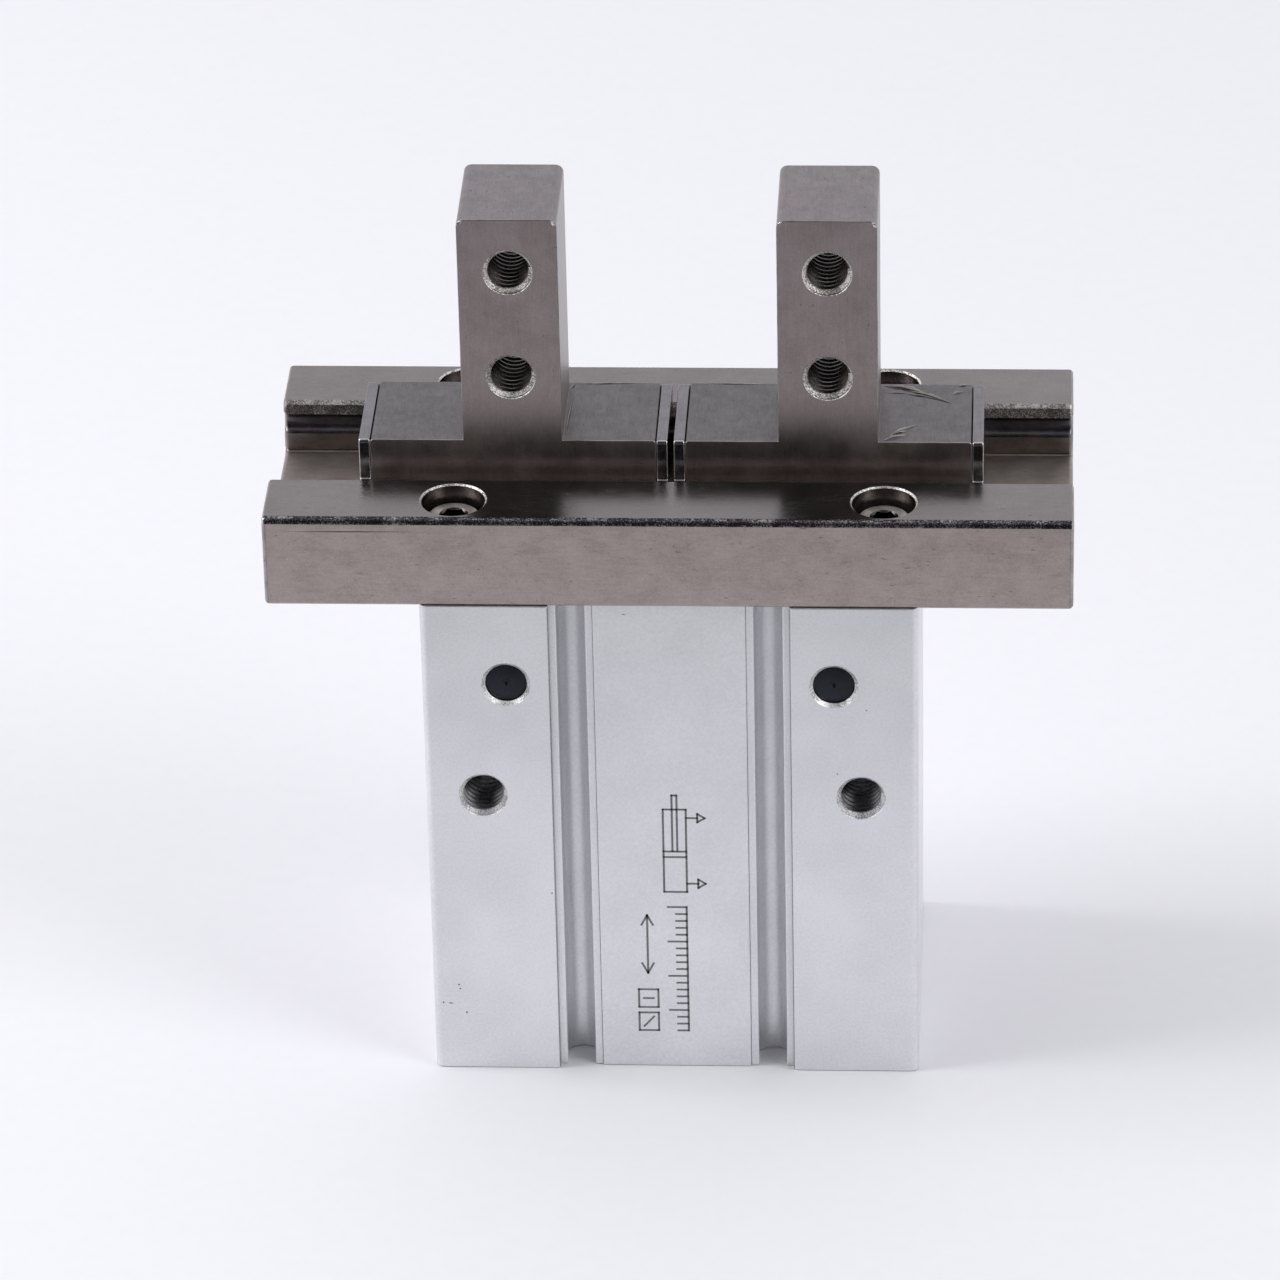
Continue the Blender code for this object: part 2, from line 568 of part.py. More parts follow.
def make_piston_unit():
    frame = axis_frame("piston_axis", (0, 0, PISTON_LOW))
    high = PISTON_LOW + PISTON_HEIGHT
    seal_low = PISTON_LOW + SEAL_GROOVE_LOW
    seal_high = PISTON_LOW + SEAL_GROOVE_HIGH
    magnet_low = PISTON_LOW + MAGNET_GROOVE_LOW
    magnet_high = PISTON_LOW + MAGNET_GROOVE_HIGH
    seat = PISTON_LOW + BOLT_SEAT
    web_top = PISTON_LOW + WEB_TOP
    snug = 0.0002
    spigot = ROD_SPIGOT_RADIUS + snug
    seat_radius = BOLT_HEAD_RADIUS + 0.0005
    clear = BOLT_SHANK_RADIUS + 2 * snug
    edge = PISTON_RADIUS - PISTON_EDGE
    profile = [(spigot, high), (edge, high), (PISTON_RADIUS, high - PISTON_EDGE),
               (PISTON_RADIUS, magnet_high), (MAGNET_GROOVE_RADIUS, magnet_high),
               (MAGNET_GROOVE_RADIUS, magnet_low), (PISTON_RADIUS, magnet_low),
               (PISTON_RADIUS, seal_high), (SEAL_GROOVE_RADIUS, seal_high),
               (SEAL_GROOVE_RADIUS, seal_low), (PISTON_RADIUS, seal_low),
               (PISTON_RADIUS, PISTON_LOW + PISTON_EDGE), (edge, PISTON_LOW),
               (seat_radius, PISTON_LOW), (seat_radius, seat), (clear, seat),
               (clear, web_top), (spigot, web_top)]
    piston = turned("piston", profile, segments=LARGE_ROUND, closed=True, finish=ANODISED)
    seal = ring("piston_seal", SEAL_GROOVE_RADIUS + snug, PISTON_RADIUS + 0.00015,
                seal_low + snug, seal_high - snug, PISTON_EDGE, segments=LARGE_ROUND,
                finish=RUBBER)
    magnet = ring("piston_magnet", MAGNET_GROOVE_RADIUS + snug, PISTON_RADIUS - GAP,
                  magnet_low + snug, magnet_high - snug, segments=LARGE_ROUND, finish=MAGNET)
    bolt = socket_screw("piston_bolt", (0, 0, PISTON_LOW + GAP), BOLT_HEAD_RADIUS, 0.0040,
                        BOLT_SHANK_RADIUS, BOLT_LENGTH, 0.0050, "-Z")
    pins = [make_rod_pin(side) for side in (-1, 1)]
    rollers = [make_rod_roller(side) for side in (-1, 1)]
    carry(frame, piston, seal, magnet, bolt, make_rod(high + snug, web_top + snug), *pins,
          *rollers)


def make_rod(shoulder, spigot_low):
    """The piston rod: a spigot below, a fork slot for the levers above, two pin holes."""
    top = ROD_PIN_Z + 0.0030
    edge = 0.0005
    bore_top = spigot_low - 0.0002 + ROD_BORE_DEPTH
    profile = [(0.0, top), (ROD_RADIUS - edge, top), (ROD_RADIUS, top - edge),
               (ROD_RADIUS, shoulder), (ROD_SPIGOT_RADIUS, shoulder),
               (ROD_SPIGOT_RADIUS, spigot_low), (ROD_BORE_RADIUS, spigot_low),
               (ROD_BORE_RADIUS, bore_top), (0.0, bore_top)]
    rod = turned("piston_rod", profile, segments=24, finish=TOOL_STEEL)
    reach = ROD_RADIUS + OVERSHOOT
    cut(rod, box("fork_slot", (-reach, -FORK_SLOT_HALF, ROD_PIN_Z - FORK_SLOT_DEPTH),
                 (reach, FORK_SLOT_HALF, top + OVERSHOOT)))
    for x in (-ROD_PIN_X, ROD_PIN_X):
        cut(rod, round_bar("rod_pin_hole", PIN_HOLE_RADIUS, 0.018, (x, 0, ROD_PIN_Z), "+Y"))
    return rod


def side_word(side):
    return "right" if side > 0 else "left"


def make_rod_pin(side):
    return round_bar(f"rod_pin_{side_word(side)}", PIN_RADIUS, 0.0118,
                     (side * ROD_PIN_X, 0, ROD_PIN_Z), "+Y", finish=SHAFT_STEEL)


def make_rod_roller(side):
    return ring(f"rod_roller_{side_word(side)}", PIN_HOLE_RADIUS, ROD_ROLLER_RADIUS, -0.0037,
                0.0037, location=(side * ROD_PIN_X, 0, ROD_PIN_Z), axis="+Y", segments=16,
                finish=TOOL_STEEL)


# ---------------------------------------------------------------- levers

def lever_outline():
    """The bell crank with its levers level: upper arm up, fork towards -X, pivot at 0, 0."""
    boss = 0.0050
    eye = 0.0026
    fork_half = 0.0042
    slot_half = ROD_ROLLER_RADIUS + 0.00025
    tip = -0.0184
    slot_end = -(LEVER_INNER - 0.0003)
    outline = arc((0, 0), boss, -90, 0, 6)
    outline += arc((0, LEVER_UPPER), eye, 0, 180, 8)
    outline += [(-0.0036, 0.0062), (-0.0056, fork_half), (tip + 0.0006, fork_half),
                (tip, fork_half - 0.0006), (tip, slot_half)]
    outline += arc((slot_end, 0), slot_half, 90, -90, 8)
    outline += [(tip, -slot_half), (tip, 0.0006 - fork_half), (tip + 0.0006, -fork_half),
                (-0.0040, -fork_half)]
    return outline


def make_lever(side):
    """One bell crank with its finger roller and pin, swung to the closed position."""
    word = side_word(side)
    frame = axis_frame(f"lever_axis_{word}", (side * PIVOT_X, 0, PIVOT_Z))
    outline = [(side * u, v) for u, v in lever_outline()]
    swing = -side * LEVER_SWING
    lever = plate(f"lever_{word}", outline, LEVER_THICKNESS, "XZ", frame.location, swing,
                  TOOL_STEEL)
    spot = Vector((side * ROLLER_X, 0, ROLLER_Z))
    cut(lever,
        round_bar("lever_pivot_hole", SHAFT_RADIUS + GAP / 2, 0.02, frame.location, "+Y", 16),
        round_bar("lever_pin_hole", PIN_HOLE_RADIUS, 0.02, spot, "+Y"))
    room = FINGER_ROLLER_RADIUS + 0.0004
    fork = box("lever_fork", (-0.004, -0.0021, -room), (0.004, 0.0021, 0.004))
    fork.location = spot + Matrix.Rotation(swing, 3, "Y") @ fork.location
    fork.rotation_euler = (0, swing, 0)
    cut(lever, fork)
    pin = round_bar(f"finger_pin_{word}", PIN_RADIUS, 0.0074, spot, "+Y", finish=SHAFT_STEEL)
    roller = ring(f"finger_roller_{word}", PIN_HOLE_RADIUS, FINGER_ROLLER_RADIUS, -0.0018,
                  0.0018, location=spot, axis="+Y", segments=16, finish=TOOL_STEEL)
    carry(frame, lever, pin, roller)


# ---------------------------------------------------------------- fingers and balls

def make_finger(side):
    """A finger on its slider, an inverted T, with a stopper plate at each end."""
    word = side_word(side)
    frame = axis_frame(f"finger_axis_{word}", (side * FINGER_X, 0, SLIDER_LOW))
    profile = [(SLIDER_HALF, SLIDER_LOW), (SLIDER_HALF, SLIDER_TOP), (FINGER_HALF, SLIDER_TOP),
               (FINGER_HALF, FINGER_TOP)]
    outline = profile + [(-u, v) for u, v in reversed(profile)]
    finger = plate(f"finger_{word}", outline, 2 * FINGER_HALF_DEPTH, "XZ",
                   (side * FINGER_X, 0, 0), finish=FINGER_STEEL)
    bevel(finger, 0.0003)
    middle = side * FINGER_X
    foot = box("slider_foot", (middle - SLIDER_HALF, -SLIDER_FOOT_HALF, SLIDER_LOW),
               (middle + SLIDER_HALF, SLIDER_FOOT_HALF, SLIDER_FOOT_TOP))
    cut(finger, foot, operation="UNION")
    for y in (-BALL_ROW_Y, BALL_ROW_Y):
        cut(finger, round_bar("ball_groove", BALL_GROOVE_RADIUS, 0.05,
                              (middle, y, BALL_ROW_Z), "+X", 20))
    for drop in FINGER_HOLE_DROPS:
        cut(finger, through_hole("finger_hole", (middle, 0, FINGER_TOP - drop), "+Y",
                                 M6_RADIUS, FINGER_HALF_DEPTH, M6_CHAMFER))
    half = FINGER_ROLLER_RADIUS + 0.0002
    cut(finger, box("roller_pocket",
                    (side * ROLLER_X - half, -0.0044, SLIDER_LOW - OVERSHOOT),
                    (side * ROLLER_X + half, 0.0044, ROLLER_TOP_Z + GAP)))
    carry(frame, finger, make_stopper(side, -1), make_stopper(side, 1))


def make_stopper(side, end):
    """A plate on the slider's end whose wide foot closes the two ball grooves."""
    label = "outer" if end == side else "inner"
    half = [(STOPPER_FOOT_HALF, SLIDER_LOW), (STOPPER_FOOT_HALF, SLIDER_FOOT_TOP),
            (FINGER_HALF_DEPTH, SLIDER_FOOT_TOP), (FINGER_HALF_DEPTH, SLIDER_TOP)]
    outline = half + [(-u, v) for u, v in reversed(half)]
    reach = SLIDER_HALF + 0.00015 + STOPPER_THICKNESS / 2
    stopper = plate(f"stopper_{label}_{side_word(side)}", outline, STOPPER_THICKNESS, "YZ",
                    (side * FINGER_X + end * reach, 0, 0), finish=PLATE_STEEL)
    return bevel(stopper, 0.0002)


def make_balls(side):
    word = side_word(side)
    frame = axis_frame(f"ball_axis_{word}", (side * BALL_ROW_X, 0, BALL_ROW_Z))
    bm = bmesh.new()
    bmesh.ops.create_uvsphere(bm, u_segments=10, v_segments=7, radius=BALL_RADIUS)
    mesh = mesh_from(f"ball_{word}", bm)
    mesh.shade_smooth()
    mesh.materials.append(TOOL_STEEL)
    for y, face in ((-BALL_ROW_Y, "front"), (BALL_ROW_Y, "back")):
        for i in range(BALLS_PER_ROW):
            x = side * (BALL_ROW_X + (i - (BALLS_PER_ROW - 1) / 2) * BALL_PITCH)
            ball = bpy.data.objects.new(f"ball_{face}_{word}_{i + 1}", mesh)
            ball.location = (x, y, BALL_ROW_Z)
            PARTS.objects.link(ball)
            carry(frame, ball)


def main():
    make_body()
    make_rail()
    make_rail_screws()
    make_lever_shafts()
    make_end_cap()
    make_retaining_ring()
    make_rod_gland()
    make_piston_unit()
    for side in (-1, 1):
        make_lever(side)
        make_finger(side)
        make_balls(side)


main()
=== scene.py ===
"""Looks of a double-acting parallel pneumatic gripper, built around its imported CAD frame.

Every shape is drawn in millimetres in the CAD's own frame: +X along the guide rail to the
right-hand finger, +Y to the back, +Z up, the origin under the middle of the body. A shape is scaled
to metres when it becomes a piece, and the piece stands in for the CAD node that it is named after.
"""
import json
import math

import bmesh
import bpy
from mathutils import Matrix, Vector


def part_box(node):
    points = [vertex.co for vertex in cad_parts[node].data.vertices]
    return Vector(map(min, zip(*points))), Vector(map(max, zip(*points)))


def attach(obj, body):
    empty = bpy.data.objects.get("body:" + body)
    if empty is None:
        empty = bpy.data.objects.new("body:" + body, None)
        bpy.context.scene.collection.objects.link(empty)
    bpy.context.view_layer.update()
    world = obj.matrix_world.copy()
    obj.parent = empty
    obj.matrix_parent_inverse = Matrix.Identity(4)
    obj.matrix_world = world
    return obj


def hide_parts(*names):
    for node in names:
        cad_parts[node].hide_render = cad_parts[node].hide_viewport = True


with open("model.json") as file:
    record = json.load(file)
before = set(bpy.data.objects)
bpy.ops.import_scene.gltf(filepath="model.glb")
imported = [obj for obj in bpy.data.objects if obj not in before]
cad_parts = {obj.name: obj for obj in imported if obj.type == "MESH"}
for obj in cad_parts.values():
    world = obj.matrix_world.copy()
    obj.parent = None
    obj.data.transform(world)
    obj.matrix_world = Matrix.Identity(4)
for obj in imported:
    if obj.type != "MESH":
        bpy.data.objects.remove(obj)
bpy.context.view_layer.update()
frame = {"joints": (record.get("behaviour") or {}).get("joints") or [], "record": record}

MM = 0.001
RECORD = frame["record"]
BODY_OF = {node: body for body, nodes in RECORD["behaviour"]["bodies"].items() for node in nodes}
JOINT_AT = {row["name"]: Vector(row.get("pos_m", (0, 0, 0))) / MM for row in frame["joints"]}


def cad_box(node):
    """Lowest and highest corner of a CAD node, in millimetres."""
    low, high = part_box(node)
    return low / MM, high / MM


def cad_middle(node):
    """The middle of a CAD node's box."""
    low, high = cad_box(node)
    return (low + high) / 2


def cad_half(node):
    """Half of a CAD node's size along each axis."""
    low, high = cad_box(node)
    return (high - low) / 2


# ---------------- sizes that the boxes don't give, in mm

ROUND = 72                      # facets round a hole or a turned piece
FACE_GAP = 0.06                 # left under the rail, less than the CAD solids keep
STOPPER_GAP = 0.04
CORNER_RADIUS = 0.9             # of the body's four upright corners
BODY_EDGE = 0.2                 # rounding along the body's upright edges
BODY_RIM = 0.14                 # and round its two ends
STRIP_SETBACK = 0.8
SWITCH_X = 11.9                 # middle of each switch groove
SWITCH_RADIUS = 2.1
SWITCH_DEPTH = 5.2
SWITCH_MOUTH = 1.7              # half width
SWITCH_STEP = 2.6               # half width of the shallow step beside the mouth
SWITCH_STEP_DEPTH = 1.05

M6 = (2.9, 2.46, 1.0, 3.0)      # major and minor radius, pitch and radius of the mouth
M5 = (2.5, 2.07, 0.8, 2.65)
FRONT_TAP = (23.0, 39.5)        # X and Z
FRONT_TAP_DEPTH = 13.0
BASE_TAP = (23.0, 13.0)         # X and Y
BASE_TAP_DEPTH = 11.0
PORT_HEIGHTS = (12.5, 35.6)
PORT_DEPTH = 6.0
FINGER_TAP_DROPS = (7.0, 21.0)  # below the finger's top

BORE_RADIUS = 16.0
SPIGOT_RADIUS = 17.0
SPIGOT_DEPTH = 2.0
RING_GROOVE = (16.9, 3.1, 4.7)  # radius, low and high
SEAL_SEAT = (9.8, 42.0)         # radius and top
BORE_TOP = 38.6
ROD_HOLE_RADIUS = 7.25
ROD_ROOM_RADIUS = 7.8
CAVITY = (27.1, 6.0, 43.8)      # half X, half Y and floor
CAVITY_CORNER = 0.8
SHAFT_HOLE_CHAMFER = 0.45
SCREW_HOLE = (2.2, 11.5)        # radius and depth in the body

RAIL_CHAMFER = 0.75
RAIL_RIM = 0.5
SLOT_HALF = 9.5
SLOT_CHAMFER = 0.75             # across; it runs down to the ball groove
SLOT_DEPTH = 6.8
BALL_GROOVE = 1.37
COUNTERBORE = (3.85, 6.0, 0.2)   # radius, depth and mouth chamfer
SCREW_CLEARANCE = 2.3
WINDOW = (10.1, 29.7, 4.6)      # near X, far X and half Y

FINGER_HALF = 6.0
FINGER_HALF_DEPTH = 7.5
SLIDER_TOP = 81.9
SLIDER_FOOT = (8.9, 76.55)      # half Y and top
FINGER_RIM = 0.12
ROLLER_POCKET = (3.3, 4.4, 76.4)    # half X, half Y and roof
CAP_GROOVE = (13.9, 6.8, 9.2)   # radius, low and high
LEVER_UPPER = 18.0
LEVER_INNER = 16.5
LEVER_SWING = math.asin(5.5 / LEVER_UPPER)
SHAFT_BEARING = 2.55
PIN_HOLE = 1.6
ROLLER_BORE = 1.62
CAP_RECESS = (8.0, 1.5)         # radius and depth
PISTON_GROOVES = ((12.6, 8.0, 12.0), (13.0, 2.0, 5.0))  # magnet's and seal's: radius, low and high
BOLT_ROOM = (5.4, 4.5)          # radius and height, under the piston
BOLT_HOLE = 2.8
ROD_SEAT = (5.2, 7.5)           # radius and height over the piston's underside
ROD_SPIGOT = 5.0
ROD_TAP = (2.6, 11.8)           # radius and depth
ROD_FORK = (4.2, 6.0)           # half Y, and depth below the pins
RING_OUTER = 16.6               # the retaining ring's radii
RING_INNER = 14.6
RING_EAR = 11.5
RING_EYES = 13.75               # radius on which its two eyes lie
RING_EYE = 0.75

TURN = {
    "+Z": Matrix.Identity(3),
    "-Z": Matrix.Rotation(math.pi, 3, "X"),
    "+Y": Matrix.Rotation(-math.pi / 2, 3, "X"),
    "-Y": Matrix.Rotation(math.pi / 2, 3, "X"),
    "+X": Matrix.Rotation(math.pi / 2, 3, "Y"),
    "-X": Matrix.Rotation(-math.pi / 2, 3, "Y"),
}
SIDES = ((-1, "left"), (1, "right"))


# ---------------- materials

class Finish:
    """A Principled material whose patterns lie in the piece's own coordinates, in metres."""

    def __init__(self, name, metallic, specular=0.5):
        self.material = bpy.data.materials.new(name)
        self.material.use_nodes = True
        tree = self.material.node_tree
        self.nodes = tree.nodes
        self.links = tree.links
        self.shader = tree.nodes["Principled BSDF"]
        self.shader.inputs["Metallic"].default_value = metallic
        self.shader.inputs["Specular IOR Level"].default_value = specular
        self.place = self.node("TexCoord").outputs["Object"]

    def join(self, value, socket):
        """Link a socket, or set a plain value."""
        if isinstance(value, bpy.types.NodeSocket):
            self.links.new(value, socket)
        else:
            socket.default_value = value

    def node(self, kind, **inputs):
        """A new shader node, with its inputs linked or set by name."""
        made = self.nodes.new("ShaderNode" + kind)
        for name, value in inputs.items():
            self.join(value, made.inputs[name.replace("_", " ")])
        return made

    def noise(self, per_mm, stretch=(1, 1, 1), detail=3.0, rough=0.55, offset=0.0):
        """Noise with about per_mm features a millimetre; stretch above 1 squeezes an axis."""
        mapping = self.node("Mapping", Vector=self.place, Scale=[per_mm / MM * s for s in stretch],
                            Location=(offset, offset, offset))
        made = self.node("TexNoise", Vector=mapping.outputs["Vector"], Scale=1.0, Detail=detail,
                         Roughness=rough)
        return made.outputs["Fac"]

    def rings(self, axis, per_mm):
        """Turning marks round the piece's own axis."""
        made = self.node("TexWave", Vector=self.place, Scale=per_mm / MM / 3.2, Distortion=0.3,
                         Detail=2.0)
        made.wave_type = "RINGS"
        made.rings_direction = axis
        return made.outputs["Fac"]

    def ramp(self, value, *stops):
        """A colour ramp over (position, colour or grey) stops."""
        made = self.node("ValToRGB", Fac=value)
        steps = made.color_ramp.elements
        while len(steps) < len(stops):
            steps.new(0.5)
        for step, (position, colour) in zip(steps, stops):
            step.position = position
            grey = isinstance(colour, (int, float))
            step.color = (colour, colour, colour, 1.0) if grey else (*colour, 1.0)
        return made.outputs["Color"]

    def mix(self, share, first, second, mode="MIX"):
        made = self.node("Mix")
        made.data_type = "RGBA"
        made.blend_type = mode
        self.join(share, made.inputs["Factor"])
        for socket, value in ((made.inputs["A"], first), (made.inputs["B"], second)):
            self.join(value if isinstance(value, bpy.types.NodeSocket) else (*value, 1.0), socket)
        return made.outputs["Result"]

    def math(self, operation, first, second):
        made = self.node("Math")
        made.operation = operation
        self.join(first, made.inputs[0])
        self.join(second, made.inputs[1])
        return made.outputs["Value"]

    def span(self, value, low, high):
        """A pattern spread over the range low to high."""
        made = self.node("MapRange", Value=value, From_Min=0.3, From_Max=0.7, To_Min=low,
                         To_Max=high)
        return made.outputs["Result"]

    def blend(self, first, share, second, other):
        """Two patterns, added in these shares."""
        return self.math("ADD", self.math("MULTIPLY", first, share),
                         self.math("MULTIPLY", second, other))

    def colour(self, value):
        self.join(value, self.shader.inputs["Base Color"])

    def roughness(self, value):
        self.join(value, self.shader.inputs["Roughness"])

    def bump(self, height_mm, *patterns):
        """Relief from each pattern in turn, height_mm from its lowest to its highest."""
        normal = None
        for height, pattern in zip(height_mm, patterns):
            made = self.node("Bump", Distance=height * MM, Height=pattern)
            if normal is not None:
                self.links.new(normal, made.inputs["Normal"])
            normal = made.outputs["Normal"]
        self.links.new(normal, self.shader.inputs["Normal"])


def anodised(name, dark, light):
    """Fine blasted and anodised aluminium, with a few nicks."""
    finish = Finish(name, metallic=0.75)
    grain = finish.noise(3.0)
    cloud = finish.noise(0.09)
    base = finish.ramp(finish.blend(grain, 0.55, cloud, 0.45), (0.36, dark), (0.62, light))
    nick = finish.ramp(finish.noise(1.3, detail=1.0, offset=3.7), (0.83, 0.0), (0.84, 1.0))
    finish.colour(finish.mix(nick, base, (0.16, 0.16, 0.17)))
    finish.roughness(finish.span(grain, 0.30, 0.45))
    finish.bump((0.010, 0.018), grain, cloud)
    return finish.material


def machined(name, dark, light, rough, axis=None, per_mm=5.0, metallic=1.0):
    """Freshly cut metal: turning marks round an axis, or else an even fine texture."""
    finish = Finish(name, metallic=metallic)
    cloud = finish.noise(0.35, detail=4.0)
    cuts = finish.rings(axis, per_mm) if axis else finish.noise(4.0)
    finish.colour(finish.mix(0.4, finish.ramp(cloud, (0.35, dark), (0.65, light)),
                             finish.ramp(cuts, (0.2, dark), (0.8, light))))
    finish.roughness(finish.span(cloud, rough - 0.05, rough + 0.07))
    finish.bump((0.004,), cuts)
    return finish.material


def ground(name, dark, light, rough, along, patch_mm, mottle=0.5, specks=0.74):
    """Ground and heat-tinted steel. along is the axis, 0 to 2, that the grinding lines follow."""
    finish = Finish(name, metallic=1.0)
    stretch = [1.0, 1.0, 1.0]
    stretch[along] = 0.025
    lines = finish.noise(9.0, stretch, detail=4.0, rough=0.7)
    stretch[along] = 0.35
    streaks = finish.noise(1.7, stretch, detail=5.0, rough=0.68, offset=1.3)
    grain = finish.noise(5.0, rough=0.7, offset=7.7)
    patches = finish.noise(1.0 / patch_mm, detail=5.0, rough=0.62, offset=2.1)
    tone = finish.blend(patches, mottle, streaks, 1.0 - mottle)
    base = finish.ramp(tone, (0.38, dark), (0.62, light))
    base = finish.mix(0.34, base, finish.ramp(lines, (0.34, dark), (0.66, light)))
    base = finish.mix(0.26, base,
                      finish.ramp(grain, (0.34, [0.7 * c for c in dark]), (0.66, light)))
    stain = finish.ramp(finish.noise(0.85, rough=0.7, offset=5.2),
                        (specks, 0.0), (specks + 0.05, 1.0))
    base = finish.mix(stain, base, [0.35 * c for c in dark])
    stretch[along] = 0.3
    fleck = finish.ramp(finish.noise(2.6, stretch, detail=2.0, rough=0.6, offset=9.4),
                        (0.70, 0.0), (0.74, 0.6))
    finish.colour(finish.mix(fleck, base, [0.4 * c for c in dark]))
    finish.roughness(finish.math("ADD", finish.span(tone, rough - 0.05, rough + 0.06),
                                 finish.math("MULTIPLY", lines, 0.08)))
    finish.bump((0.003, 0.006), lines, streaks)
    return finish.material


def pitted(name, dark, light, rough, per_mm, bright_from, metallic=1.0):
    """A bruised and pitted chamfer: dark with bright specks, which are denser in patches."""
    finish = Finish(name, metallic=metallic)
    grit = finish.noise(per_mm, rough=0.75)
    patch = finish.noise(per_mm / 9, detail=2.0, offset=4.4)
    spread = finish.blend(grit, 0.72, patch, 0.28)
    finish.colour(finish.ramp(spread, (bright_from - 0.24, [0.6 * c for c in dark]),
                              (bright_from - 0.08, dark), (bright_from, light)))
    finish.roughness(finish.span(grit, rough + 0.05, rough - 0.12))
    finish.bump((0.03,), grit)
    return finish.material


def moulded(name, dark, light, rough, per_mm):
    """Rubber or a rubber-bonded magnet: a fine dull grain."""
    finish = Finish(name, metallic=0.0)
    grain = finish.noise(per_mm)
    finish.colour(finish.ramp(grain, (0.35, dark), (0.7, light)))
    finish.roughness(finish.span(grain, rough - 0.06, rough + 0.08))
    finish.bump((0.02,), grain)
    return finish.material


ANODISED = anodised("anodised_body", (0.74, 0.74, 0.76), (0.86, 0.86, 0.88))
# Painted shade: darker anodising for the body's sideways-facing step and strip edges.
STEP_EDGE_SHADE = anodised("anodised_edge_shade", (0.24, 0.24, 0.25), (0.40, 0.40, 0.415))
CUT_ALUMINIUM = machined("cut_aluminium", (0.62, 0.61, 0.60), (0.84, 0.83, 0.83), 0.27)
TURNED_ALUMINIUM = machined("turned_aluminium", (0.55, 0.55, 0.57), (0.70, 0.70, 0.72), 0.3, "Z")
RAIL_SIDE = ground("rail_side_steel", (0.37, 0.31, 0.285), (0.59, 0.515, 0.485), 0.38, 0, 4.0, 0.6)
RAIL_TOP = ground("rail_top_steel", (0.235, 0.212, 0.21), (0.31, 0.285, 0.285), 0.20, 0, 6.0, 0.6,
                  specks=0.80)
SLOT_WALL = ground("slot_wall_steel", (0.195, 0.165, 0.148), (0.35, 0.30, 0.275), 0.40, 0, 2.5)
SLOT_FLOOR = ground("slot_floor_steel", (0.30, 0.26, 0.24), (0.46, 0.405, 0.375), 0.46, 0, 3.0)
BALL_TRACK = ground("ball_track_steel", (0.085, 0.08, 0.088), (0.225, 0.21, 0.22), 0.27, 0, 3.0)
# Painted shade: dark steel for the walls of the counterbores and the rail's windows.
BORE_WALL_SHADE = machined("counterbore_shade_steel", (0.045, 0.04, 0.04), (0.21, 0.18, 0.17), 0.30)
FINGER_SIDE = ground("finger_side_steel", (0.30, 0.25, 0.24), (0.45, 0.395, 0.385), 0.28, 2, 4.5,
                     0.65)
FINGER_FLANK = ground("finger_flank_steel", (0.27, 0.245, 0.245), (0.45, 0.42, 0.42), 0.32, 2, 3.0)
FINGER_TOP = ground("finger_top_steel", (0.21, 0.19, 0.193), (0.365, 0.33, 0.34), 0.30, 1, 2.4)
SLIDER_DECK = ground("slider_deck_steel", (0.118, 0.109, 0.114), (0.262, 0.246, 0.25), 0.35, 1,
                     2.6)
GOUGE = machined("gouged_steel", (0.02, 0.02, 0.023), (0.20, 0.19, 0.195), 0.32)
STOPPER = ground("stopper_steel", (0.19, 0.18, 0.19), (0.32, 0.31, 0.325), 0.15, 1, 2.5, 0.5)
EDGE = machined("worn_edge_steel", (0.20, 0.18, 0.175), (0.50, 0.455, 0.44), 0.30)
# Painted highlight: light steel for edges that catch the light.
EDGE_HIGHLIGHT = machined("edge_highlight_steel", (0.34, 0.32, 0.325), (0.66, 0.63, 0.63), 0.22)
SCALE = pitted("scaled_chamfer", (0.05, 0.045, 0.053), (0.42, 0.40, 0.40), 0.40, 5.0, 0.59)
BRUISED = pitted("bruised_chamfer", (0.21, 0.19, 0.18), (0.78, 0.74, 0.70), 0.42, 5.5, 0.585)
# Painted shade: much darker steel for the inside of holes, sockets and deep threads.
HOLE_STEEL_SHADE = machined("hole_shade_steel", (0.025, 0.024, 0.028), (0.15, 0.13, 0.12), 0.26)
# Painted highlight, with real pitting: near-white pitted steel for rims that catch the light and for
# corner glints.
STEEL_RIM_HIGHLIGHT = pitted("hole_rim_highlight_steel", (0.30, 0.265, 0.25), (0.95, 0.91, 0.89), 0.52, 5.0, 0.54, 0.55)
# Painted highlight: the two crest finishes brighten the upper thread crests. Painted shade: the deep
# aluminium thread is darker.
CREST_STEEL_HIGHLIGHT = machined("thread_crest_highlight_steel", (0.26, 0.235, 0.22), (0.95, 0.90, 0.85), 0.42)
CREST_ALUMINIUM_HIGHLIGHT = machined("thread_crest_highlight_aluminium", (0.36, 0.36, 0.365), (0.95, 0.95, 0.95), 0.42)
THREAD_ALUMINIUM_SHADE = machined("thread_shade_aluminium", (0.085, 0.085, 0.092), (0.42, 0.42, 0.43), 0.24)
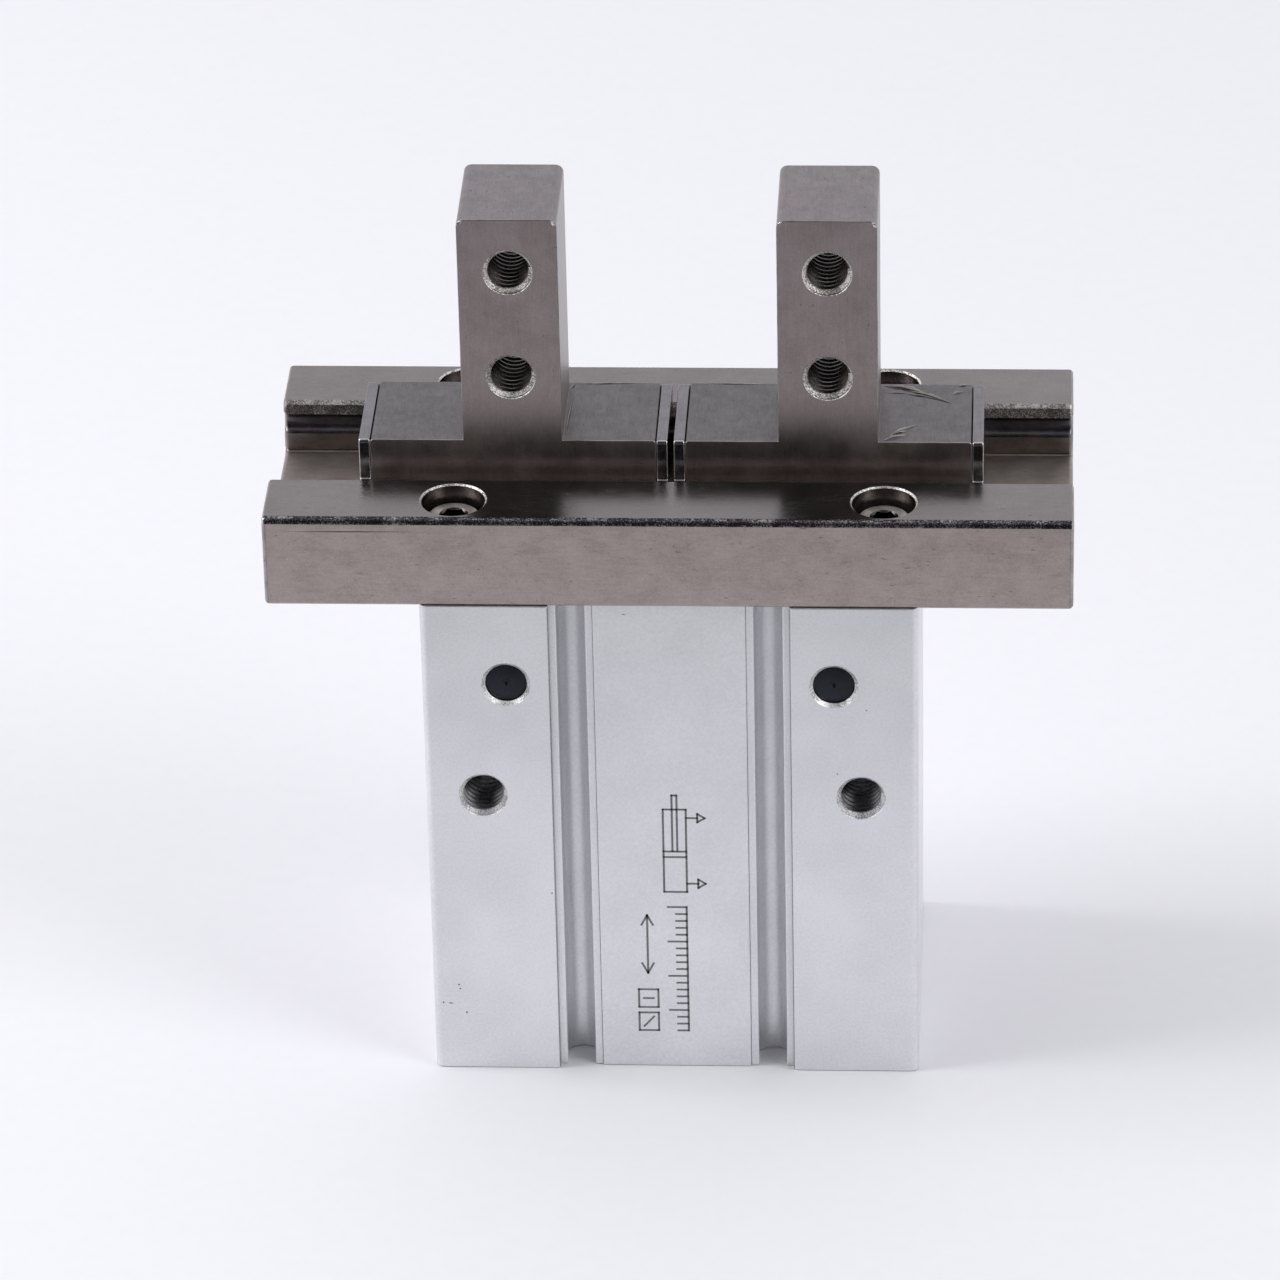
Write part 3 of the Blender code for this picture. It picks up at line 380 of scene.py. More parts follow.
# Painted highlight, with real pitting: near-white pitted aluminium for the rims of the body's holes.
ALUMINIUM_RIM_HIGHLIGHT = pitted("aluminium_rim_highlight", (0.40, 0.40, 0.41), (0.95, 0.95, 0.95), 0.45, 6.0, 0.53,
                       0.6)
SCREW_STEEL = machined("screw_steel", (0.42, 0.385, 0.36), (0.95, 0.90, 0.85), 0.38, metallic=0.8)
BLACKENED = machined("blackened_steel", (0.006, 0.007, 0.011), (0.018, 0.020, 0.030), 0.24, "Y",
                     9.0, 0.6)
HARDENED = machined("hardened_steel", (0.40, 0.40, 0.41), (0.56, 0.56, 0.57), 0.24, "Y", 6.0)
POLISHED = machined("polished_steel", (0.52, 0.52, 0.53), (0.62, 0.62, 0.63), 0.12)
RUBBER = moulded("nitrile_rubber", (0.012, 0.012, 0.013), (0.03, 0.03, 0.031), 0.6, 8.0)
MAGNET = moulded("bonded_magnet", (0.035, 0.03, 0.03), (0.075, 0.068, 0.066), 0.55, 6.0)
NICKED = moulded("nicked_coating", (0.05, 0.05, 0.055), (0.14, 0.14, 0.145), 0.6, 9.0)
MARKING = moulded("laser_marking", (0.13, 0.13, 0.135), (0.27, 0.27, 0.275), 0.6, 5.0)


# ---------------- drawing

def arc(u, v, radius, start_deg, end_deg, steps):
    """Points along an arc, both ends included."""
    angles = [math.radians(start_deg + (end_deg - start_deg) * i / steps)
              for i in range(steps + 1)]
    return [(u + radius * math.cos(a), v + radius * math.sin(a)) for a in angles]


def rounded(corners, steps=4):
    """An outline through (u, v, radius) corners, each rounded to its radius."""
    outline = []
    for i, (u, v, radius) in enumerate(corners):
        here = Vector((u, v))
        if radius == 0:
            outline.append((u, v))
            continue
        back = (Vector(corners[i - 1][:2]) - here).normalized()
        ahead = (Vector(corners[(i + 1) % len(corners)][:2]) - here).normalized()
        half = back.angle(ahead) / 2
        centre = here + (back + ahead).normalized() * radius / math.sin(half)
        start = here + back * radius / math.tan(half) - centre
        end = here + ahead * radius / math.tan(half) - centre
        sweep = start.angle(end)
        for k in range(steps + 1):
            part = k / steps
            point = (start * math.sin((1 - part) * sweep) + end * math.sin(part * sweep))
            outline.append(tuple(centre + point / math.sin(sweep)))
    return outline


def mirrored(half):
    """An outline from its right half, listed from one end of the mirror line to the other."""
    return half + [(-u, *rest) for u, *rest in reversed(half)]


SPREAD = {
    "X": lambda u, v, w: (w, u, v),
    "Y": lambda u, v, w: (u, w, v),
    "Z": lambda u, v, w: (u, v, w),
}


def prism(outline, low, high, axis, rim=0.0, steps=3):
    """An outline carried along an axis, with the edges of both ends rounded by rim."""
    bm = bmesh.new()
    ends = [[bm.verts.new(SPREAD[axis](u, v, w)) for u, v in outline] for w in (low, high)]
    caps = [bm.faces.new(end) for end in ends]
    edges = [edge for cap in caps for edge in cap.edges]
    for i in range(len(outline)):
        bm.faces.new((ends[0][i - 1], ends[0][i], ends[1][i], ends[1][i - 1]))
    bmesh.ops.recalc_face_normals(bm, faces=bm.faces)
    if rim:
        bmesh.ops.bevel(bm, geom=edges, offset=rim, segments=steps, profile=0.5, affect="EDGES")
    return bm


def rounded_box(half_x, half_y, radius, middle_x=0.0, steps=6):
    """A rounded rectangle about the X axis."""
    corners = ((-half_x, -half_y), (half_x, -half_y), (half_x, half_y), (-half_x, half_y))
    return rounded([(middle_x + x, y, radius) for x, y in corners], steps)


def block(low, high, rim=0.0):
    """A box from corner to corner."""
    outline = [(low[0], low[1]), (high[0], low[1]), (high[0], high[1]), (low[0], high[1])]
    return prism(outline, low[2], high[2], "Z", rim)


def lathe(profile, place=(0, 0, 0), axis="+Z", steps=ROUND, closed=False, ripple=None):
    """Turn (radius, height) points about an axis. ripple(radius, i) may change a radius."""
    bm = bmesh.new()
    place = Vector(place)
    rings = []
    for radius, height in profile:
        if radius == 0:
            rings.append([bm.verts.new(place + TURN[axis] @ Vector((0, 0, height)))])
            continue
        ring = []
        for i in range(steps):
            angle = 2 * math.pi * i / steps
            r = ripple(radius, i) if ripple else radius
            point = Vector((r * math.cos(angle), r * math.sin(angle), height))
            ring.append(bm.verts.new(place + TURN[axis] @ point))
        rings.append(ring)
    pairs = list(zip(rings, rings[1:])) + ([(rings[-1], rings[0])] if closed else [])
    for upper, lower in pairs:
        for i in range(steps):
            j = (i + 1) % steps
            corners = [upper[i % len(upper)], upper[j % len(upper)],
                       lower[j % len(lower)], lower[i % len(lower)]]
            corners = list(dict.fromkeys(corners))
            if len(corners) > 2:
                bm.faces.new(corners)
    bmesh.ops.recalc_face_normals(bm, faces=bm.faces)
    return bm


def drill(radius, reach, place, axis="+Z", steps=48):
    """A cylinder that reaches as far on both sides of a place."""
    return lathe([(0, reach), (radius, reach), (radius, -reach), (0, -reach)], place, axis, steps)


def tap_tool(place, axis, depth, thread, through=False):
    """The cutter of a tapped hole at its major diameter, countersunk at its mouth."""
    major, minor, _, mouth = thread
    sink = mouth - major
    profile = [(0, 1), (mouth + 1, 1), (major, -sink), (major, -depth + (sink if through else 0))]
    if through:
        profile += [(mouth + 1, -depth - 1), (0, -depth - 1)]
    else:
        profile += [(minor, -depth), (0, -depth - minor / 2)]
    return lathe(profile, place, axis)


# Painted light on tapped threads: the mouth's finish is a painted rim highlight, the bright crests a
# painted highlight, and deeper turns painted shade.
RIM_TURNS = 1.0                 # how far down a thread its mouth's finish reaches
LIT_TURNS = 4.2                 # how far down its bright crests reach


def thread_ridge(place, axis, depth, thread, through=False):
    """The helical ridge of a tapped hole, cut back to a countersink at its mouth."""
    major, minor, pitch, mouth = thread
    steps = 48
    place = Vector(place)
    root = major + 0.04
    inset = mouth - major
    bm = bmesh.new()
    sections = []
    last = depth - inset if through else depth - 0.5
    for i in range(int(depth / pitch * steps) + 1):
        drop = i / steps * pitch
        angle = 2 * math.pi * i / steps
        section = []
        for radius, width in ((root, -0.46), (minor, -0.13), (minor, 0.13), (root, 0.46)):
            at = min(max(drop + width * pitch, inset), last)
            sunk = mouth - at
            if through:
                sunk = max(sunk, mouth - (depth - at))
            radius = min(max(radius, sunk), root - 0.002) if radius < root else root
            point = Vector((radius * math.cos(angle), radius * math.sin(angle), -at))
            section.append(bm.verts.new(place + TURN[axis] @ point))
        sections.append(section)
    for i, (one, two) in enumerate(zip(sections, sections[1:])):
        for k in range(4):
            face = bm.faces.new((one[k - 1], one[k], two[k], two[k - 1]))
            # Painted light: the first RIM_TURNS take finish 0, the rim highlight; crest faces down
            # to LIT_TURNS take finish 1, a painted highlight; the rest take finish 2, painted shade.
            if i > RIM_TURNS * steps:
                face.material_index = 1 if k == 2 and i <= LIT_TURNS * steps else 2
    bm.faces.new(sections[0])
    bm.faces.new(sections[-1])
    bmesh.ops.recalc_face_normals(bm, faces=bm.faces)
    return bm


def show(name, data):
    """A new object in the scene."""
    made = bpy.data.objects.new(name, data)
    bpy.context.scene.collection.objects.link(made)
    return made


def draft(bm, finish, name="draft"):
    """A temporary object in millimetres."""
    mesh = bpy.data.meshes.new(name)
    bm.to_mesh(mesh)
    bm.free()
    mesh.materials.append(finish)
    return show(name, mesh)


def carve(base, tools, finish, operation="DIFFERENCE"):
    """Cut bmesh tools out of a draft. The cut faces take the finish."""
    cutters = [draft(tool, finish) for tool in tools]
    for cutter in cutters:
        step = base.modifiers.new("carve", "BOOLEAN")
        step.operation = operation
        step.solver = "EXACT"
        step.material_mode = "TRANSFER"
        step.object = cutter
    bpy.context.view_layer.update()
    graph = bpy.context.evaluated_depsgraph_get()
    mesh = bpy.data.meshes.new_from_object(base.evaluated_get(graph))
    base.modifiers.clear()
    base.data = mesh
    for cutter in cutters:
        bpy.data.objects.remove(cutter)


def add_islands(base, solids, *finishes):
    """Add closed solids, such as thread ridges, to a draft as they are."""
    first = len(base.data.materials)
    for finish in finishes:
        base.data.materials.append(finish)
    bm = bmesh.new()
    bm.from_mesh(base.data)
    for solid in solids:
        mesh = bpy.data.meshes.new("island")
        solid.to_mesh(mesh)
        solid.free()
        before = len(bm.faces)
        bm.from_mesh(mesh)
        bm.faces.ensure_lookup_table()
        for face in bm.faces[before:]:
            face.material_index += first
        bpy.data.meshes.remove(mesh)
    bm.to_mesh(base.data)
    bm.free()


def paint(base, finish, chosen, over=None):
    """Give a finish to the faces for which chosen(centre, normal) is true.

    It covers only the draft's first finish, or the one given as over.
    """
    mesh = base.data
    mesh.materials.append(finish)
    index = len(mesh.materials) - 1
    covered = mesh.materials.find(over.name) if over else 0
    for face in mesh.polygons:
        if face.material_index == covered and chosen(face.center, face.normal):
            face.material_index = index


def settled(base, sharp_deg=32):
    """The draft's mesh, scaled to metres and shaded smooth up to a sharp angle."""
    mesh = base.data
    bpy.data.objects.remove(base)
    mesh.transform(Matrix.Scale(MM, 4))
    mesh.shade_smooth()
    mesh.set_sharp_from_angle(angle=math.radians(sharp_deg))
    return mesh


def stand_in(node, mesh, centre=(0, 0, 0)):
    """Show a mesh in place of a CAD node, riding on that node's body."""
    made = show("fine_" + node, mesh)
    made.location = Vector(centre) * MM
    made.modifiers.new("even_normals", "WEIGHTED_NORMAL").keep_sharp = True
    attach(made, BODY_OF[node])
    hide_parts(node)


def turned_piece(node, profile, finish, axis="+Z", closed=False, centre=(0, 0, 0)):
    """A turned stand-in. Its profile's heights are measured from centre, along the axis."""
    stand_in(node, settled(draft(lathe(profile, axis=axis, closed=closed), finish)), centre)


def ring_piece(node, finish, bore, edge, axis="+Z"):
    """A plain ring that fills its CAD node's box, with rounded edges."""
    size = cad_half(node)
    index = "XYZ".index(axis[1])
    outer, half = size[(index + 1) % 3], size[index]
    corners = [(outer, half, edge), (outer, -half, edge), (bore, -half, edge), (bore, half, edge)]
    turned_piece(node, rounded(corners, 3), finish, axis, True, cad_middle(node))


def spindle(rim, tips):
    """A closed solid from a rim of four points to a tip on either side of it."""
    bm = bmesh.new()
    rim, tips = ([bm.verts.new(point) for point in points] for points in (rim, tips))
    for i in range(4):
        for tip in tips:
            bm.faces.new((rim[i - 1], rim[i], tip))
    bmesh.ops.recalc_face_normals(bm, faces=bm.faces)
    return bm


def gouge(start, end, width, z):
    """A blade that cuts a shallow V-shaped gouge, pointed at both ends, into a face at z."""
    start = Vector((*start, z))
    end = Vector((*end, z))
    middle = start.lerp(end, 0.4)
    across = (end - start).cross(Vector((0, 0, 1))).normalized() * width / 2
    lift = Vector((0, 0, 0.012))
    return spindle([p + lift for p in (start, middle + across, end, middle - across)],
                   [middle + Vector((0, 0, rise)) for rise in (-0.35 * width, 1.0)])


def front_gouge(start, end, width, face):
    """The same in a front face at y = face, with its ends given in X and Z."""
    blade = gouge(start, end, width, 0)
    blade.transform(Matrix.Translation((0, face, 0)) @ Matrix.Rotation(math.pi / 2, 4, "X"))
    return blade


def screw_places():
    """(node, x, y) of each rail screw."""
    for _, side in SIDES:
        for face in ("front", "back"):
            node = f"rail_screw_{face}_{side}"
            middle = cad_middle(node)
            yield node, middle.x, middle.y


# ---------------- body

def face_outline(side, half_x, half_y):
    """The body's cross-section along its front (side -1) face, from left to right."""
    step = half_y - SWITCH_STEP_DEPTH
    strip = half_y - STRIP_SETBACK
    lip = math.degrees(math.acos(SWITCH_MOUTH / SWITCH_RADIUS))
    groove = arc(0, SWITCH_RADIUS - SWITCH_DEPTH, SWITCH_RADIUS, 180 - lip, 360 + lip, 22)
    outline = [(-half_x, half_y, CORNER_RADIUS)]
    for x in (-SWITCH_X, SWITCH_X):
        near_strip = (lambda u: strip if (u < 0) == (x > 0) else half_y)
        outline += [(x - SWITCH_STEP, near_strip(-1), BODY_EDGE), (x - SWITCH_STEP, step, 0),
                    (x - SWITCH_MOUTH, step, BODY_EDGE),
                    *((x + u, half_y + v, 0) for u, v in groove),
                    (x + SWITCH_MOUTH, step, BODY_EDGE), (x + SWITCH_STEP, step, 0),
                    (x + SWITCH_STEP, near_strip(1), BODY_EDGE)]
    outline.append((half_x, half_y, CORNER_RADIUS))
    return [(u, side * v, r) for u, v, r in outline]


BODY_NICKS = (                  # (start X, Z), (end X, Z) and width on the front's left pad
    ((-26.95, 12.1), (-26.65, 12.2), 0.30), ((-26.8, 11.6), (-26.5, 11.5), 0.26),
    ((-28.95, 9.5), (-28.65, 9.55), 0.30), ((-28.3, 9.45), (-27.4, 9.4), 0.20),
    ((-26.1, 8.0), (-25.8, 8.2), 0.30), ((-15.1, 25.6), (-14.8, 25.5), 0.26))


def tap_places():
    """(place, axis, depth, thread) of every tapped hole in the body."""
    low, high = cad_box("body")
    places = []
    for side, axis in ((-1, "-Y"), (1, "+Y")):
        for sign in (-1, 1):
            x, z = FRONT_TAP
            places.append(((sign * x, side * high.y, z), axis, FRONT_TAP_DEPTH, M6))
            x, y = BASE_TAP
            places.append(((sign * x, side * y, low.z), "-Z", BASE_TAP_DEPTH, M6))
    for z in PORT_HEIGHTS:
        places.append(((low.x, 0, z), "-X", PORT_DEPTH, M5))
    return places


def make_body():
    low, high = cad_box("body")
    high.z = cad_box("guide_rail")[0].z - FACE_GAP
    outline = face_outline(-1, high.x, high.y) + list(reversed(face_outline(1, high.x, high.y)))
    body = draft(prism(rounded(outline), low.z, high.z, "Z", BODY_RIM, 2), ANODISED)
    ring_radius, ring_low, ring_high = RING_GROOVE
    seat_radius, seat_top = SEAL_SEAT
    half_x, half_y, floor = CAVITY
    bore = [(0, high.z + 1), (ROD_ROOM_RADIUS, high.z + 1), (ROD_ROOM_RADIUS, floor),
            (ROD_HOLE_RADIUS, floor), (ROD_HOLE_RADIUS, seat_top), (seat_radius, seat_top),
            (seat_radius, BORE_TOP), (BORE_RADIUS, BORE_TOP), (BORE_RADIUS, ring_high),
            (ring_radius, ring_high), (ring_radius, ring_low), (BORE_RADIUS, ring_low),
            (BORE_RADIUS, SPIGOT_DEPTH), (SPIGOT_RADIUS, SPIGOT_DEPTH),
            (SPIGOT_RADIUS, 0.25), (SPIGOT_RADIUS + 1.25, -1), (0, -1)]
    cavity = rounded_box(half_x, half_y, CAVITY_CORNER, steps=8)
    tools = [lathe(bore, steps=96), prism(cavity, floor + 0.1, high.z + 1, "Z")]
    for _, word in SIDES:
        pivot = JOINT_AT[f"lever_{word}_turn"]
        radius = (cad_box(f"lever_shaft_{word}")[1].x - pivot.x) + 0.03
        flare = radius + SHAFT_HOLE_CHAMFER
        reach = high.y - SHAFT_HOLE_CHAMFER
        profile = [(0, high.y + 1), (flare + 1, high.y + 1), (radius, reach), (radius, -reach),
                   (flare + 1, -high.y - 1), (0, -high.y - 1)]
        tools.append(lathe(profile, pivot, "+Y"))
    radius, depth = SCREW_HOLE
    for _, x, y in screw_places():
        tools.append(lathe([(0, 1), (radius, 1), (radius, -depth), (0, -depth - 1)],
                           (x, y, high.z)))
    passage = [(0, 1), (1.1, 1), (1.1, -9), (0, -9)]
    tools += [lathe(passage, (low.x + PORT_DEPTH, 0, z), "-X", 24) for z in PORT_HEIGHTS]
    taps = tap_places()
    tools += [tap_tool(*tap) for tap in taps]
    carve(body, tools, CUT_ALUMINIUM)
    # Painted highlight: the mouth chamfers of the body's holes take the bright pitted rim finish.
    paint(body, ALUMINIUM_RIM_HIGHLIGHT, lambda c, n: 0.2 < abs(n.y) < 0.95 and abs(c.y) > high.y - 1,
          CUT_ALUMINIUM)
    carve(body, [front_gouge(*nick, low.y) for nick in BODY_NICKS], NICKED)
    # Painted light on the body's threads: rim highlight at the mouth, highlighted crests further
    # down, painted shade deeper in.
    add_islands(body, [thread_ridge(*tap) for tap in taps],
                ALUMINIUM_RIM_HIGHLIGHT, CREST_ALUMINIUM_HIGHLIGHT, THREAD_ALUMINIUM_SHADE)
    # Painted shade: the sideways-facing faces of the strips and switch-groove steps take the darker
    # anodising.
    paint(body, STEP_EDGE_SHADE, lambda c, n: abs(n.x) > 0.3 and abs(c.x) < high.x - 2 and abs(n.z) < 0.3
          and abs(c.y) > high.y - SWITCH_STEP_DEPTH + 0.1)
    stand_in("body", settled(body))


LINE_WIDTH = 0.26
LINE_RELIEF = 0.012


def stroke(start, end):
    """The outline of a straight line of the marking, in X and Z."""
    start = Vector(start)
    end = Vector(end)
    along = (end - start).normalized() * LINE_WIDTH / 2
    across = Vector((-along.y, along.x))
    return [tuple(p) for p in (start - along - across, end + along - across,
                               end + along + across, start - along + across)]


def make_marking():
    """A generic cylinder symbol, a scale and two plain boxes, marked on the middle strip."""
    face = cad_box("body")[0].y + STRIP_SETBACK
    lines = []

    def path(*points):
        lines.extend(zip(points, points[1:]))

    def box(left, low, right, high):
        path((left, low), (right, low), (right, high), (left, high), (left, low))

    box(-1.2, 25.4, 1.6, 37.2)                                  # a cylinder
    for z in (30.4, 31.2):                                      # its piston
        path((-1.2, z), (1.6, z))
    path((-0.1, 31.2), (-0.1, 39.2), (0.5, 39.2), (0.5, 31.2))  # its rod
    for z in (26.6, 36.0):                                      # its ports
        path((1.6, z), (3.0, z))
        path((3.0, z - 0.6), (3.9, z), (3.0, z + 0.6), (3.0, z - 0.6))
    for i in range(19):                                         # a plain scale
        path((0.2 if i % 5 else -0.8, 23.2 - i), (1.5, 23.2 - i))
    path((1.5, 23.2), (1.5, 5.2))
    for z in (5.2, 8.6):                                        # two plain boxes
        box(-4.6, z, -2.2, z + 2.6)
    path((-4.0, 5.8), (-2.8, 7.2))
    path((-4.0, 9.9), (-2.8, 9.9))
    path((-3.4, 13.6), (-3.4, 22.0))                            # a two-way arrow
    path((-4.1, 20.6), (-3.4, 22.0), (-2.7, 20.6))
    path((-4.1, 15.0), (-3.4, 13.6), (-2.7, 15.0))
    solids = [prism(stroke(a, b), face - LINE_RELIEF, face + 0.1, "Y") for a, b in lines]
    marking = draft(solids[0], MARKING)
    add_islands(marking, solids[1:], MARKING)
    made = show("cylinder_symbol", settled(marking))
    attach(made, BODY_OF["body"])


# ---------------- rail, screws and shafts

def make_rail():
    low, high = cad_box("guide_rail")
    ball = cad_middle("ball_back_right_1")
    reach = math.degrees(math.acos((SLOT_HALF - ball.y) / BALL_GROOVE))
    half = [(high.y - RAIL_CHAMFER, high.z), (SLOT_HALF + SLOT_CHAMFER, high.z),
            (SLOT_HALF + 0.42, high.z - 0.5)]
    half += arc(ball.y, ball.z, BALL_GROOVE, reach, -reach, 12)
    floor = high.z - SLOT_DEPTH
    half += [(SLOT_HALF, floor + 0.35), (SLOT_HALF + 0.15, floor + 0.2), (SLOT_HALF - 0.05, floor)]
    chamfer = 0.3
    outer = [(high.y - chamfer, low.z), (high.y, low.z + chamfer), (high.y, high.z - RAIL_CHAMFER),
             (high.y - 0.3, high.z - 0.24)]
    outline = mirrored(outer + half)
    rail = draft(prism(outline, low.x, high.x, "X", RAIL_RIM), RAIL_SIDE)
    radius, depth, mouth = COUNTERBORE
    flares = []
    tools = []
    flare = [(0, 1), (radius + mouth + 1, 1), (radius - 0.5, -mouth - 0.5), (0, -mouth - 0.5)]
    through = low.z - high.z - 1
    profile = [(0, 1), (radius, 1), (radius, -depth), (SCREW_CLEARANCE, -depth),
               (SCREW_CLEARANCE, through), (0, through)]
    for _, x, y in screw_places():
        flares.append(lathe(flare, (x, y, high.z)))
        tools.append(lathe(profile, (x, y, high.z)))
    # Painted highlight: the counterbores' mouth chamfers take the bright pitted rim finish.
    carve(rail, flares, STEEL_RIM_HIGHLIGHT)
    near, far, half_y = WINDOW
    for sign in (-1, 1):
        window = rounded_box((far - near) / 2, half_y, 2, sign * (far + near) / 2)
        tools.append(prism(window, low.z - 1, floor + 1, "Z"))
    # Painted shade: the counterbore walls, screw clearances and windows take the dark steel.
    carve(rail, tools, BORE_WALL_SHADE)
    scribed = high.z - RAIL_CHAMFER - 1.0
    carve(rail, [front_gouge((0.4 - high.x, scribed), (-25.0, scribed + 0.1), 0.16, low.y)], GOUGE)
    paint(rail, RAIL_TOP, lambda c, n: n.z > 0.95 and c.z > high.z - 0.1)
    paint(rail, SCALE, lambda c, n: 0.4 < n.z < 0.95 and abs(n.x) < 0.3 and abs(c.y) > 15)
    # Painted highlight: the upper facet of each slot chamfer takes the bright pitted rim finish.
    paint(rail, STEEL_RIM_HIGHLIGHT, lambda c, n: 0.45 < n.z < 0.9 and abs(n.x) < 0.3 and c.z > ball.z + 1)
    paint(rail, BRUISED, lambda c, n: 0.1 < n.z < 0.9 and abs(n.x) < 0.3 and c.z > ball.z + 1)
    paint(rail, SLOT_FLOOR, lambda c, n: n.z > 0.9 and abs(c.z - floor) < 0.1)
    paint(rail, BALL_TRACK, lambda c, n: abs(n.x) < 0.3 and abs(c.z - ball.z) < BALL_GROOVE
          and SLOT_HALF + 0.02 < abs(c.y) < 12)
    paint(rail, SLOT_WALL, lambda c, n: abs(c.y) < 11 and floor - 0.2 < c.z < high.z - 0.2
          and abs(n.x) < 0.3)
    # Painted highlight: the rail's end facets at the top chamfers take the light edge finish as
    # corner glints.
    paint(rail, EDGE_HIGHLIGHT, lambda c, n: 0.3 < abs(n.x) < 0.98 and n.z > 0.25 and abs(c.y) > 18.5)
    paint(rail, EDGE, lambda c, n: 0.2 < abs(n.x) < 0.98)
    stand_in("guide_rail", settled(rail))


def make_screw(node, head, grip, shank, socket):
    """A socket head cap screw of a CAD node's size, hanging from the centre of its head's top."""
    radius, _, half = cad_half(node)
    total = 2 * half
    fine = 0.25
    thread = []
    pitch = shank / 2.8
    start = grip + head
    while start < total - pitch:
        thread += [(shank, -start), (shank - 0.3, -start - pitch / 2)]
        start += pitch
    profile = [(0, 0), (radius - 0.8, 0), (radius - 0.5, -0.1), (radius, -0.8),
               (radius, -head + fine), (radius - fine, -head), (shank + 0.15, -head),
               (shank, -head - 0.15)]
    profile += thread + [(shank - 0.3, -total + fine), (shank - 0.5, -total), (0, -total)]

    def knurl(r, i):
        return r - 0.09 * (i % 2) if r == radius else r

    screw = draft(lathe(profile, ripple=knurl, steps=96), SCREW_STEEL)
    hexagon = arc(0, 0, socket / math.sqrt(3), 0, 300, 5)
    half = socket / 2
    cone = lathe([(0, 1), (half + 1.25, 1), (half, -0.25), (0, -head * 0.55)], steps=48)
    # Painted shade: the hex socket and its cone take the dark hole steel.
    carve(screw, [prism(hexagon, -head / 2, 1, "Z"), cone], HOLE_STEEL_SHADE)
    return settled(screw)


def make_rail_screws():
    mesh = make_screw("rail_screw_front_left", head=3.7, grip=4.0, shank=1.95, socket=3.0)
    for node, x, y in screw_places():
        stand_in(node, mesh, (x, y, cad_box(node)[1].z))


def make_lever_shafts():
    for _, side in SIDES:
        node = f"lever_shaft_{side}"
        radius, half, _ = cad_half(node)
        edge = 0.22
        end = [(0, half - 0.45), (0.45, half), (radius - edge, half), (radius - 0.06, half - 0.06),
               (radius, half - edge)]
        profile = end + [(r, -h) for r, h in reversed(end)]
        turned_piece(node, profile, BLACKENED, "+Y", centre=cad_middle(node))


# ---------------- fingers, stoppers and balls

DECK_GOUGES = (                 # (start X, Y), (end X, Y) and width on the right slider's deck
    ((25.2, 6.9), (29.9, 5.8), 0.95), ((26.1, 7.3), (31.2, 4.4), 1.05),
    ((28.2, 5.9), (34.1, 2.2), 0.90), ((28.0, 4.9), (31.8, 3.7), 0.55),
    ((25.4, 5.2), (28.4, 4.9), 0.50), ((27.3, 6.8), (32.4, 3.7), 0.50),
    ((25.4, -7.3), (28.8, -5.5), 1.00), ((26.0, -6.2), (30.0, -2.8), 0.85),
    ((25.8, -6.6), (28.4, -5.7), 0.60), ((26.8, -5.4), (28.8, -4.6), 0.55),
    ((33.6, 4.7), (35.4, 5.5), 0.70), ((34.3, 6.8), (35.9, 7.2), 0.65),
    ((3.4, 7.3), (13.4, 7.0), 0.40))
LEFT_GOUGES = (                 # and on the left one's
    ((-12.9, 7.0), (-2.6, 7.3), 0.45), ((-12.8, 5.4), (-12.1, 7.2), 0.40),
    ((-12.7, -7.0), (-12.2, 6.0), 0.20))


def lip(start, end, width, z):
    """The metal that a gouge has pushed up beside it: a low ridge, pointed at both ends."""
    start = Vector((*start, z - 0.01))
    end = Vector((*end, z - 0.01))
    middle = start.lerp(end, 0.45)
    across = (end - start).cross(Vector((0, 0, 1))).normalized() * width
    across *= math.copysign(1, across.y)
    crest = middle + across * 0.7
    return spindle((start, middle + across, end, middle + across * 0.45),
                   [crest + Vector((0, 0, rise)) for rise in (0.14 * width, -0.02)])


